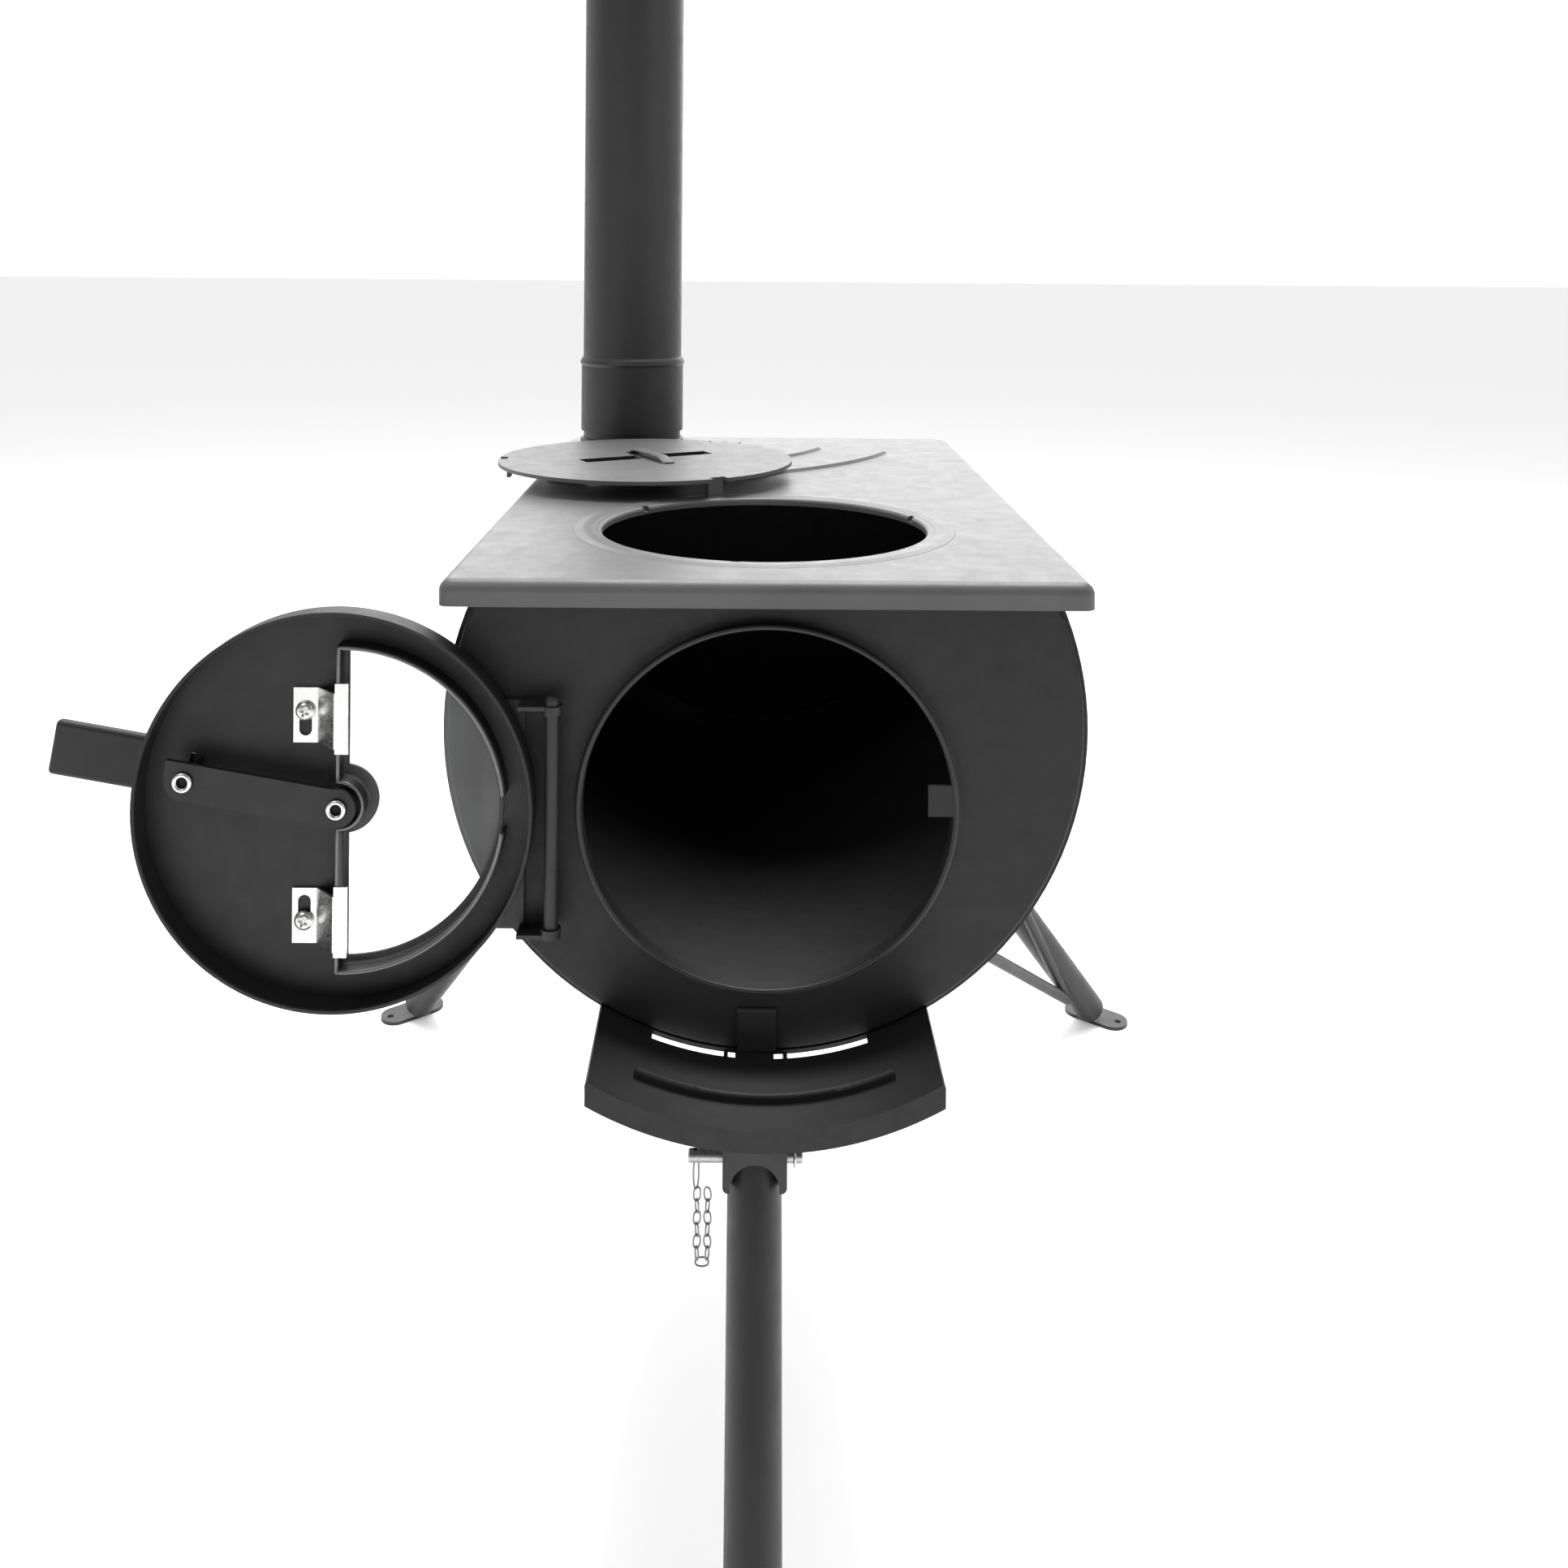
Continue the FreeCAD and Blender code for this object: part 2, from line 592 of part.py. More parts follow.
def make_washers():
    """A washer above the tube and one below it."""
    for name, low in (("hinge_washer_upper", hinge_top + S.hinge_play),
                      ("hinge_washer_lower", S.hinge_low - S.hinge_play - S.washer_height)):
        ring = rod(S.washer_radius, S.washer_height, (S.hinge_side, hinge_y, low))
        bore = rod(S.hinge_pin_radius, S.washer_height + 2, (S.hinge_side, hinge_y, low - 1))
        node(name, cut(ring, bore))


def make_hinge_strap():
    """C-shaped strap: a web on the outside of the door and two arms to the pin."""
    low = S.hinge_low - S.hinge_play - S.washer_height - S.strap_sheet
    high = hinge_top + S.hinge_play + S.washer_height + S.strap_sheet
    tall = high - low
    edge = door_side + S.door_radius - S.strap_inset
    web = box((S.strap_web, S.strap_sheet, tall), (edge - S.strap_web, door_face, low))
    arms = []
    half = S.strap_width / 2
    start = edge - S.strap_sheet
    deep = door_face + S.strap_sheet - hinge_y + half
    for z in (low, high - S.strap_sheet):
        arms.append(box((S.hinge_side - start, deep, S.strap_sheet), (start, hinge_y - half, z)))
        arms.append(rod(half + S.strap_eye, S.strap_sheet, (S.hinge_side, hinge_y, z)))
    bore = rod(S.hinge_pin_radius, tall + 2, (S.hinge_side, hinge_y, low - 1))
    pan = rod(S.door_radius, S.door_depth, (door_side, door_rim, S.door_height), "y")
    return node("hinge_strap", cut(fuse(web, *arms), bore, pan))


def window(radius, edge, bump, back, depth):
    """Half-round block of the window, with a round bite where the latch pivot stands."""
    disc = rod(radius, depth, (door_side + S.window_shift, back - depth, S.door_height), "y")
    keep = box((BIG, depth + 2, BIG), (door_side + edge, back - depth - 1, S.door_height - BIG / 2))
    bite = rod(bump, depth + 2, (S.latch_pivot_side, back - depth - 1, S.latch_height), "y")
    return cut(common(disc, keep), bite)


def make_door_pan():
    """Round pressed pan with the window cut-out, the latch hole and the latch's arc slot."""
    body = new("PartDesign::Body", "Pan")
    sketch = new_sketch(body, "XZ_Plane")
    draw_circle(sketch, 0, 0, S.door_radius)
    pad(body, sketch, S.door_depth)
    place(body, (door_side, door_face, S.door_height))
    pan = rounded(body, S.door_round, lambda e: e.BoundBox.YMin > door_face.number - 0.01)
    hollow = rod(S.door_radius - S.door_sheet, S.door_depth,
                 (door_side, door_rim - S.door_sheet, S.door_height), "y")
    pane = window(S.window_radius, S.window_edge, S.window_bump, door_face + 1, S.door_sheet + 2)
    thick = S.door_sheet + 2
    pivot = (S.latch_pivot_side, floor_inner - 1, S.latch_height)
    pivot_hole = rod(S.rivet_shank + S.rivet_gap, thick, pivot, "y")
    start = 180 + S.latch_tilt - S.latch_lower - S.slot_end
    sweep = S.latch_lower + S.latch_lift + S.slot_end * 2
    slot = cut(sector(S.latch_reach + S.rivet_shank + S.slot_gap, thick, pivot, start, sweep),
               rod(S.latch_reach - S.rivet_shank - S.slot_gap, thick, pivot, "y"))
    return node("door_pan", cut(pan, hollow, pane, pivot_hole, slot))


def make_glass():
    pane = window(S.glass_radius, S.glass_edge, S.glass_bump, floor_inner, S.glass_sheet)
    return node("door_glass", pane)


def make_trim():
    """Wall pressed up round the glass, with a break on the hinge side."""
    gap = S.trim_gap
    outer = window(S.glass_radius + gap + S.trim_wall, S.glass_edge - gap - S.trim_wall,
                   S.glass_bump - gap - S.trim_wall, floor_inner, S.trim_height)
    inner = window(S.glass_radius + gap, S.glass_edge - gap, S.glass_bump - gap,
                   floor_inner + 1, S.trim_height + 2)
    side = S.glass_radius * 0.8
    gate = box((side, S.trim_height + 2, S.trim_break),
               (door_side + side, floor_inner - S.trim_height - 1,
                S.door_height - S.trim_break * 0.6))
    return node("glass_trim", cut(outer, inner, gate))


def make_clips():
    """Two Z-shaped clips over the straight edge of the glass, each with a slot and a screw."""
    wall = S.clip_sheet
    flange_left = door_side + S.glass_edge - S.trim_gap * 2 - S.trim_wall
    foot_left = flange_left - S.clip_slope - S.clip_foot
    slot_x = foot_left + S.clip_slot_inset
    rise = S.trim_height
    slope_length = root(S.clip_slope * S.clip_slope + rise * rise)
    shift = wall * (slope_length - S.clip_slope) / rise
    bend = S.clip_foot + S.clip_slope
    outline = [(0, 0), (S.clip_foot, 0), (bend, -rise), (bend + S.clip_flange, -rise),
               (bend + S.clip_flange, -(rise + wall)), (bend - shift, -(rise + wall)),
               (S.clip_foot - shift, -wall), (0, -wall)]
    for name, centre, way in (("upper", S.clip_upper, 1), ("lower", S.clip_lower, -1)):
        low = centre - S.clip_foot_tall / 2
        body = new("PartDesign::Body", "Clip")
        sketch = new_sketch(body, "XY_Plane")
        draw_outline(sketch, outline)
        pad(body, sketch, S.clip_foot_tall)
        place(body, (foot_left, floor_inner, low))
        flange = box((S.clip_flange, wall, S.clip_foot_tall + S.clip_above + S.clip_below),
                     (flange_left, floor_inner - rise - wall, low - S.clip_below))
        slot_low = centre - S.clip_slot_drop * way - S.clip_slot_length / 2
        slot_front = floor_inner - wall * 2
        slot = fuse(box((S.clip_slot, wall * 3, S.clip_slot_length),
                        (slot_x - S.clip_slot / 2, slot_front, slot_low)),
                    rod(S.clip_slot / 2, wall * 3, (slot_x, slot_front, slot_low), "y"),
                    rod(S.clip_slot / 2, wall * 3,
                        (slot_x, slot_front, slot_low + S.clip_slot_length), "y"))
        node("glass_clip_" + name, cut(fuse(body, flange), slot))
        head_front = floor_inner - wall - S.screw_height
        head = rod(S.screw_radius, S.screw_height,
                   (slot_x, head_front, centre + S.clip_shift * way), "y")
        head = rounded(head, S.screw_height * 0.6,
                       lambda e: e.BoundBox.YMax < head_front.number + 0.1)
        node("clip_screw_" + name, head)


# ---------------------------------------------------------------- latch
def latch_point(reach):
    """Point on the latch's centre line, at this distance from its pivot."""
    return (S.latch_pivot_side - reach * cosine(S.latch_tilt),
            S.latch_height + reach * sine(S.latch_tilt))


def latch_block(start, end, low, high, back, depth):
    """Block along the latch's centre line: distances from the pivot, and heights across it."""
    tilt = S.latch_tilt
    x = S.latch_pivot_side - end * cosine(tilt) + low * sine(tilt)
    z = S.latch_height + end * sine(tilt) + low * cosine(tilt)
    return box((end - start, depth, high - low), (x, back - depth, z), (0, tilt, 0))


def make_latch():
    """Inner bar with a stepped tongue, outer lever with a folded grip, and two hollow rivets."""
    bar_back = floor_inner - S.latch_stand
    half = S.latch_width / 2
    link = latch_point(S.latch_reach)
    thick = S.latch_sheet
    bar = fuse(latch_block(dim(0), S.latch_reach, -half, half, bar_back, thick),
               rod(half, thick, (S.latch_pivot_side, bar_back - thick, S.latch_height), "y"),
               rod(half, thick, (link[0], bar_back - thick, link[1]), "y"),
               latch_block(S.latch_reach, S.latch_tongue, dim(1), half, bar_back, thick))
    pivot_at = (S.latch_pivot_side, S.latch_height)
    holes = [rod(S.rivet_shank, thick + 2, (p[0], bar_back - thick - 1, p[1]), "y")
             for p in (pivot_at, link)]
    node("latch_bar", cut(bar, *holes))
    lever_back = door_face + S.lever_stand + thick
    wide = S.lever_width / 2
    lever = fuse(latch_block(dim(0), S.grip_start, -wide, wide, lever_back, thick),
                 rod(wide, thick, (S.latch_pivot_side, lever_back - thick, S.latch_height), "y"))
    holes = [rod(S.rivet_shank, thick + 2, (p[0], lever_back - thick - 1, p[1]), "y")
             for p in (pivot_at, link)]
    node("latch_lever", cut(lever, *holes))
    grip_half = S.grip_tall / 2
    grip = latch_block(S.grip_start, S.grip_start + S.grip_length, -grip_half, grip_half,
                       lever_back, S.grip_thick)
    grip = rounded(grip, S.grip_thick * 0.4, lambda e: True)
    node("door_handle", grip)
    front = bar_back - thick
    length = lever_back - front
    for name, point in (("latch_pivot_rivet", pivot_at), ("latch_link_rivet", link)):
        shank = rod(S.rivet_shank, length, (point[0], front, point[1]), "y")
        inner = rod(S.rivet_radius, S.rivet_head, (point[0], front - S.rivet_head, point[1]), "y")
        outer = rod(S.rivet_radius, S.rivet_head, (point[0], lever_back, point[1]), "y")
        spacer = rod(S.spacer_radius, S.latch_stand - S.spacer_gap,
                     (point[0], bar_back, point[1]), "y")
        bore = rod(S.rivet_bore, length + 10, (point[0], front - 5, point[1]), "y")
        node(name, cut(fuse(shank, inner, outer, spacer), bore))


# ---------------------------------------------------------------- ash shelf
def band(inner, outer, start, length, half_angle):
    """Curved band about the barrel's axis, centred on the lowest line."""
    at = (0, start, S.barrel_height)
    wedge = sector(outer, length, at, 90 - half_angle, half_angle * 2)
    return cut(wedge, rod(inner, length, at, "y"))


def make_shelf():
    """Tray that carries on the curve of the barrel, with a down-turned lip and a cross rib."""
    inner = S.barrel_radius - S.barrel_wall
    tray = band(inner, S.barrel_radius, -S.shelf_reach, S.shelf_reach + S.barrel_start,
                S.shelf_half_angle)
    lip = band(inner, S.barrel_radius + S.shelf_lip, -S.shelf_reach, S.barrel_wall,
               S.shelf_half_angle)
    rib = band(inner - S.rib_height, inner, -S.rib_distance, S.rib_width, S.rib_half_angle)
    crest = (inner - S.rib_height).number * 2 * math.sin(math.radians(S.rib_half_angle.number))
    rib = rounded(rib, S.rib_round, lambda e: e.BoundBox.YLength < 0.01
                  and abs(e.BoundBox.XLength - crest) < 0.5)
    gaps = []
    for left, right in ((S.slit_left_start, S.slit_left_end), (S.slit_right_start, S.slit_right_end)):
        gaps.append(box((right - left, S.shelf_gap, S.barrel_radius),
                        (left, -S.shelf_gap, S.barrel_height - S.barrel_radius * 1.2)))
    tray_half = S.barrel_radius * sine(S.shelf_half_angle)
    beyond = [box((BIG, S.shelf_reach * 2, BIG), (start, -S.shelf_reach * 1.5, 0))
              for start in (tray_half, -tray_half - BIG)]
    lip = cut(lip, *beyond)
    return node("ash_shelf", cut(fuse(tray, lip, rib), *gaps))


def make_shelf_strap():
    """Upright strap on the disc, over the root of the shelf."""
    low = S.barrel_height - S.barrel_radius + S.barrel_wall * 1.3
    strap = box((S.shelf_strap, S.disc_sheet, S.shelf_strap_tall),
                (S.strap_side - S.shelf_strap / 2, -S.disc_sheet, low))
    round_top = rounded(strap, S.disc_sheet * 0.8, lambda e: e.BoundBox.YLength < 0.01
                        and e.BoundBox.ZMin > (low + S.shelf_strap_tall).number - 0.1
                        and e.BoundBox.YMax < -1)
    return node("shelf_strap", round_top)


# ---------------------------------------------------------------- feet and front leg
def foot_plate(name, side, distance, turn):
    """Plate with round ends and a peg hole near its outer end."""
    turn = dim(turn)
    body = new("PartDesign::Body", "Foot")
    sketch = new_sketch(body, "XY_Plane")
    draw_outline(sketch, rectangle(S.foot_length, S.foot_width, -S.foot_length / 2,
                                   -S.foot_width / 2))
    pad(body, sketch, S.foot_sheet)
    place(body, (side, distance, 0), (turn, 0, 0))
    plate = rounded(body, S.foot_width / 2 - 0.5,
                    lambda e: e.BoundBox.ZLength > S.foot_sheet.number / 2)
    out = S.foot_length / 2 - S.peg_inset
    peg = rod(S.peg_radius, S.foot_sheet * 3,
              (side + out * cosine(turn), distance + out * sine(turn), -S.foot_sheet))
    return node(name, cut(plate, peg))


def below(height):
    """Everything lower than a height."""
    return box((BIG * 4, BIG * 6, BIG), (-BIG * 2, -BIG * 3, height - BIG))


front_pin = (S.front_leg_side, S.front_pin_distance, S.front_pin_height)


def front_leg_point(drop):
    """Point on the front leg's centre line, this far below the pin."""
    slope = sine(S.front_lean) / cosine(S.front_lean)
    return (S.front_leg_side, S.front_pin_distance - drop * slope, S.front_pin_height - drop)


def make_front_leg():
    inside = S.leg_radius + S.bracket_gap
    outside = inside + S.bracket_wall
    top = S.barrel_height - S.barrel_radius + S.bracket_wall * 2
    block = box((outside * 2, S.bracket_depth, top - S.bracket_bottom),
                (S.front_leg_side - outside, S.bracket_front, S.bracket_bottom))
    block = rounded(block, S.bracket_round, lambda e: e.BoundBox.YLength > 1
                    and e.BoundBox.ZMax < S.bracket_bottom.number + 0.1)
    channel = box((inside * 2, S.bracket_depth, BIG),
                  (S.front_leg_side - inside, S.bracket_front + S.bracket_wall,
                   S.bracket_bottom - 10))
    arch_radius = S.arch_width / 2
    arch_spring = S.arch_height - arch_radius
    arch = fuse(rod(arch_radius, 20, (S.front_leg_side, S.bracket_front - 5, arch_spring), "y"),
                box((S.arch_width, 20, BIG),
                    (S.front_leg_side - arch_radius, S.bracket_front - 5, arch_spring - BIG)))
    barrel = rod(S.barrel_radius, S.barrel_length + 100,
                 (0, S.barrel_start - 100, S.barrel_height), "y")
    hole = rod(S.front_pin_radius + S.front_pin_gap, outside * 2 + 4,
               (S.front_leg_side - outside - 2, front_pin[1], front_pin[2]), "x")
    node("front_leg_bracket", cut(block, channel, arch, barrel, hole))
    foot = front_leg_point(S.front_pin_height)
    crown = front_leg_point(-S.leg_radius * cosine(S.front_lean))
    across_leg = outside * 2
    round_top = rod(S.leg_radius, across_leg,
                    (S.front_leg_side - outside, front_pin[1], front_pin[2]), "x")
    corners = cut(strut(outside, front_leg_point(-S.leg_radius * 2), front_pin), round_top)
    tube = cut(strut(S.leg_radius, crown, foot), strut(S.leg_radius - S.leg_wall, crown, foot),
               hole_copy(), corners, below(S.foot_sheet))
    node("front_leg_tube", tube)
    foot_plate("front_foot", foot[0], foot[1] + 4, 90)
    pin = rod(S.front_pin_radius, S.pin_left + S.pin_right,
              (S.front_leg_side - S.pin_left, front_pin[1], front_pin[2]), "x")
    cross = rod(S.pin_cross, S.front_pin_radius * 4,
                (S.front_leg_side - S.pin_left + S.pin_cross_inset, front_pin[1],
                 front_pin[2] - S.front_pin_radius * 2))
    pin = rounded(cut(pin, cross), 1, lambda e: e.BoundBox.XLength < 0.01
                  and e.BoundBox.ZLength > S.front_pin_radius.number * 1.9)
    node("lock_pin", pin)
    clip_side = S.front_leg_side + outside + S.pin_cross_inset
    clip = cut(rod(S.front_pin_radius + S.clip_wire, S.clip_wire,
                   (clip_side, front_pin[1], front_pin[2]), "x"),
               rod(S.front_pin_radius, 4, (clip_side - 1, front_pin[1], front_pin[2]), "x"))
    node("pin_clip", clip)


def hole_copy():
    """Pin hole through the tube."""
    reach = S.leg_radius + 5
    return rod(S.front_pin_radius + S.front_pin_gap, reach * 2,
               (S.front_leg_side - reach, front_pin[1], front_pin[2]), "x")


def make_chain():
    """Keeper chain's two drops, as one slim closed bar that follows the hanging loop."""
    obj = new("Part::Feature", "Chain")
    left = S.front_leg_side.number - S.pin_left.number + S.pin_cross_inset.number
    y = S.front_pin_distance.number
    top = S.front_pin_height.number - S.front_pin_radius.number
    size = S.chain_size.number
    right = left + S.chain_span.number
    bend = top - S.chain_drop.number
    points = [(left, top), (left, bend), ((left + right) / 2, bend - S.chain_sag.number),
              (right, bend), (right, bend + S.chain_rise.number)]
    solids = []
    for start, end in zip(points, points[1:]):
        a = FreeCAD.Vector(start[0], y, start[1])
        b = FreeCAD.Vector(end[0], y, end[1])
        solids.append(Part.makeCylinder(size, (b - a).Length, a, b - a))
        solids.append(Part.makeSphere(size, b))
    obj.Shape = solids[0].fuse(solids[1:])
    return node("pin_chain", obj)


# ---------------------------------------------------------------- rear legs
def across(unit, vector):
    """The part of a vector that is square to a unit vector."""
    along = vector[0] * unit[0] + vector[1] * unit[1] + vector[2] * unit[2]
    return tuple(part - along * step for part, step in zip(vector, unit))


def beyond_bend(low, side):
    """Space on the outer side of the tube, beyond the brace's bend."""
    start = low[0] if side > 0 else low[0] - BIG
    return box((BIG, S.stay_radius * 8, S.stay_radius * 4),
               (start, low[1] - S.stay_radius * 4, low[2] - S.stay_radius * 2))


def make_rear_leg(name, side):
    """Leg on one side: cheeks and lugs on the barrel, tube, V brace, foot and hinge pins."""
    pivot = (S.rear_pivot_side * side, S.rear_pivot_distance, rear_pivot_height)
    stay = (S.stay_pivot_side * side, S.stay_pivot_distance, stay_pivot_height)
    foot = (S.rear_foot_side * side, S.rear_foot_distance, dim(0))
    run = [b - a for a, b in zip(stay, pivot)]
    length = root(run[0] * run[0] + run[1] * run[1] + run[2] * run[2])
    unit = [part / length for part in run]

    def on_axis(distance, origin=pivot):
        """Point on the hinge line, this far behind the origin point."""
        return tuple(a + u * distance for a, u in zip(origin, unit))

    barrel = rod(S.barrel_radius, S.barrel_length, axis, "y")
    half = S.cheek_space
    cheeks = []
    for near, far in ((half, half + S.cheek_wall), (-(half + S.cheek_wall), -half)):
        cheeks.append(strut(S.cheek_width / 2, on_axis(near), on_axis(far)))
    webs = []
    up = across(unit, (S.cheek_lean * -side, dim(0), S.cheek_rise))
    for near, far in ((half, half + S.cheek_wall), (-(half + S.cheek_wall), -half)):
        a = on_axis(near)
        b = on_axis(far)
        webs.append(strut(S.cheek_width / 2, tuple(p + q for p, q in zip(a, up)),
                          tuple(p + q for p, q in zip(b, up))))
        webs.append(strut(S.cheek_width / 2, tuple(p + q * 0.5 for p, q in zip(a, up)),
                          tuple(p + q * 0.5 for p, q in zip(b, up))))
    reach = half + S.cheek_wall + 2
    pin_hole = strut(S.rear_pin_radius, on_axis(-reach), on_axis(reach))
    for index, parts in enumerate(((cheeks[0], webs[0], webs[1]), (cheeks[1], webs[2], webs[3]))):
        node("rear_cheek_%s_%d" % (name, index + 1), cut(fuse(*parts), barrel, pin_hole))
    node("rear_leg_pin_" + name, cut(strut(S.rear_pin_radius, on_axis(-reach), on_axis(reach)),
                                     barrel))
    slope = [b - a for a, b in zip(pivot, foot)]
    total = root(slope[0] * slope[0] + slope[1] * slope[1] + slope[2] * slope[2])
    down = [part / total for part in slope]
    crown = tuple(a - d * (S.leg_radius * 0.85) for a, d in zip(pivot, down))
    tilt_rise = S.leg_radius * root(1 - down[2] * down[2]) - 1.5
    end_drop = (rear_pivot_height - S.foot_sheet - tilt_rise) / -down[2]
    end = tuple(a + d * end_drop for a, d in zip(pivot, down))
    clear = S.rear_pin_radius + S.knuckle_gap
    swing_hole = strut(clear, on_axis(-reach), on_axis(reach))
    tube = cut(strut(S.leg_radius, crown, end), strut(S.leg_radius - S.leg_wall, crown, end),
               swing_hole, below(S.foot_sheet))
    node("rear_leg_tube_" + name, tube)
    angle = -S.foot_turn if side > 0 else S.foot_turn + 180
    foot_plate("rear_foot_" + name, foot[0], foot[1], angle)
    if side > 0:
        make_brace(name, side, pivot, stay, down, strut(S.leg_radius, crown, end), on_axis)


def make_brace(name, side, pivot, stay, down, solid_tube, on_axis):
    """V brace from the leg's foot to a lug on the hinge line and to a seat on the barrel."""
    barrel = rod(S.barrel_radius, S.barrel_length, axis, "y")
    unit = [b - a for a, b in zip(on_axis(0), on_axis(1))]
    low_drop = (rear_pivot_height - S.stay_low) / -down[2]
    low = tuple(a + d * low_drop for a, d in zip(pivot, down))
    low = (low[0] - side * S.stay_inset, low[1] - S.stay_forward, low[2])
    knuckle_half = S.knuckle_length / 2
    knuckle = strut(S.knuckle_radius, on_axis(-knuckle_half, stay), on_axis(knuckle_half, stay))
    knuckle_bore = strut(S.knuckle_pin_radius + S.knuckle_gap,
                         on_axis(-S.knuckle_length, stay), on_axis(S.knuckle_length, stay))
    seat_drop = root(S.barrel_radius * S.barrel_radius - S.stay_seat_side * S.stay_seat_side)
    seat = (S.stay_seat_side * side, S.stay_seat_distance, S.barrel_height - seat_drop)
    seat_barrel = rod(S.barrel_radius + S.seat_gap, S.barrel_length, axis, "y")
    bend = new("Part::Sphere", "Bend")
    bind(bend, "Radius", S.stay_radius)
    place(bend, low)
    outward = beyond_bend(low, side)
    stay_rod = fuse(strut(S.stay_radius, low, stay), bend, knuckle)
    node("rear_stay_" + name, cut(stay_rod, knuckle_bore, solid_tube, outward))
    brace = cut(strut(S.stay_radius, low, seat), strut(S.stay_radius, low, stay), bend,
                solid_tube, seat_barrel, outward)
    node("rear_brace_" + name, brace)
    lug_near = -(knuckle_half + S.cheek_gap)
    lug_far = lug_near - S.cheek_wall
    rise = across(unit, (dim(0), dim(0), S.knuckle_radius * 2))
    steps = []
    for share in (0, 0.5, 1):
        start = tuple(p + q * share for p, q in zip(on_axis(lug_near, stay), rise))
        end = tuple(p + q * share for p, q in zip(on_axis(lug_far, stay), rise))
        steps.append(strut(S.knuckle_radius, start, end))
    pin_start = on_axis(lug_far, stay)
    pin_end = on_axis(knuckle_half + S.cheek_gap, stay)
    lug_bore = strut(S.knuckle_pin_radius, on_axis(lug_far - 1, stay), pin_end)
    node("rear_lug_" + name, cut(fuse(*steps), barrel, lug_bore))
    node("rear_lug_pin_" + name, strut(S.knuckle_pin_radius, pin_start, pin_end))


make_shell()
make_front_plate()
make_rear_plate()
make_catch()
make_cooktop()
make_hob_ring()
make_lid()
make_flue_ring()
make_flue()
make_hinge_tube()
make_hinge_pin()
make_washers()
make_hinge_strap()
make_door_pan()
make_glass()
make_trim()
make_clips()
make_latch()
make_shelf()
make_shelf_strap()
make_front_leg()
make_chain()
make_rear_leg("right", 1)
make_rear_leg("left", -1)
doc.recompute()

failed = [obj.Name for obj in doc.Objects if set(obj.State) & {"Invalid", "Error"}]
if failed:
    raise RuntimeError("failed objects: " + ", ".join(failed))
for obj in nodes:
    if obj.Shape.isNull() or not obj.Shape.isValid() or obj.Shape.Volume < 1:
        raise RuntimeError("bad shape: " + obj.Label)

os.makedirs("parts", exist_ok=True)
for obj in nodes:
    obj.Shape.exportStep("parts/%s.step" % obj.Label)
    box_now = obj.Shape.BoundBox
    print("%-24s %9.0f mm3  solids %d  x %.1f..%.1f y %.1f..%.1f z %.1f..%.1f" % (
        obj.Label, obj.Shape.Volume, len(obj.Shape.Solids), box_now.XMin, box_now.XMax,
        box_now.YMin, box_now.YMax, box_now.ZMin, box_now.ZMax))
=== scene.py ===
# %% [markdown]
# # A portable camp stove
# The stove is a sheet-steel barrel on three folding legs, with a flat cooktop, a lid for the hob
# hole, a flue and a round door. The measured frame comes in first and stays where it is. What
# follows gives every part its finish and adds the small pieces that a maker sees up close: the
# rolled rims, the welds, the chain, the screws and the bridge that the lid is lifted by.

# %% Load the frame
import math

import bpy
import numpy as np
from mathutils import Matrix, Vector


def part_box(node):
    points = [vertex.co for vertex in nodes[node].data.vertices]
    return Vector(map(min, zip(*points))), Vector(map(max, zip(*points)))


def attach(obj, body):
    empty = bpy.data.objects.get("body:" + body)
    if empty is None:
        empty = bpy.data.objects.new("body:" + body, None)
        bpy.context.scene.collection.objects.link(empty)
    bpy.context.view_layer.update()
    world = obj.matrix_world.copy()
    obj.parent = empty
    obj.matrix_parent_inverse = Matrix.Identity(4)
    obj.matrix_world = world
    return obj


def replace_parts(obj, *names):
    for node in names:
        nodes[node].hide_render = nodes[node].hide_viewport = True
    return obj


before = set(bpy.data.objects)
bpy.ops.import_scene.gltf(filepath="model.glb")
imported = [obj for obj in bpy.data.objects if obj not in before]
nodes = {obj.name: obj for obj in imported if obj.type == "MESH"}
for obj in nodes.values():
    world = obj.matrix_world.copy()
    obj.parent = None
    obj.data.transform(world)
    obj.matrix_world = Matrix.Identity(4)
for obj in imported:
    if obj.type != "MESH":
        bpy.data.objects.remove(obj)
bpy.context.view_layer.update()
MM = 0.001
TAU = 2 * math.pi

# %% [markdown]
# ## Nodes that every finish uses
# Real coatings are uneven at several sizes at once. An image could carry that, but noise read in
# object space works on every part at the same scale, whatever its size, and needs no unwrapping.
# Each helper below adds one link of that chain: the noise, its range, its two tones, its bump.

# %% Material helpers


def new_material(name):
    """Empty node material with its shader."""
    material = bpy.data.materials.new(name)
    material.use_nodes = True
    tree = material.node_tree
    shader = tree.nodes["Principled BSDF"]
    return material, tree, shader


def object_noise(tree, scale, detail=4.0, roughness=0.6):
    """Noise in object space; scale is in features for each metre."""
    place = tree.nodes.new("ShaderNodeTexCoord")
    noise = tree.nodes.new("ShaderNodeTexNoise")
    noise.inputs["Scale"].default_value = scale
    noise.inputs["Detail"].default_value = detail
    noise.inputs["Roughness"].default_value = roughness
    tree.links.new(place.outputs["Object"], noise.inputs["Vector"])
    return noise.outputs["Fac"]


def spread(tree, value, low, high):
    """Noise from 0.3..0.7 brought to low..high."""
    ramp = tree.nodes.new("ShaderNodeMapRange")
    ramp.inputs["From Min"].default_value = 0.3
    ramp.inputs["From Max"].default_value = 0.7
    ramp.inputs["To Min"].default_value = low
    ramp.inputs["To Max"].default_value = high
    tree.links.new(value, ramp.inputs["Value"])
    return ramp.outputs["Result"]


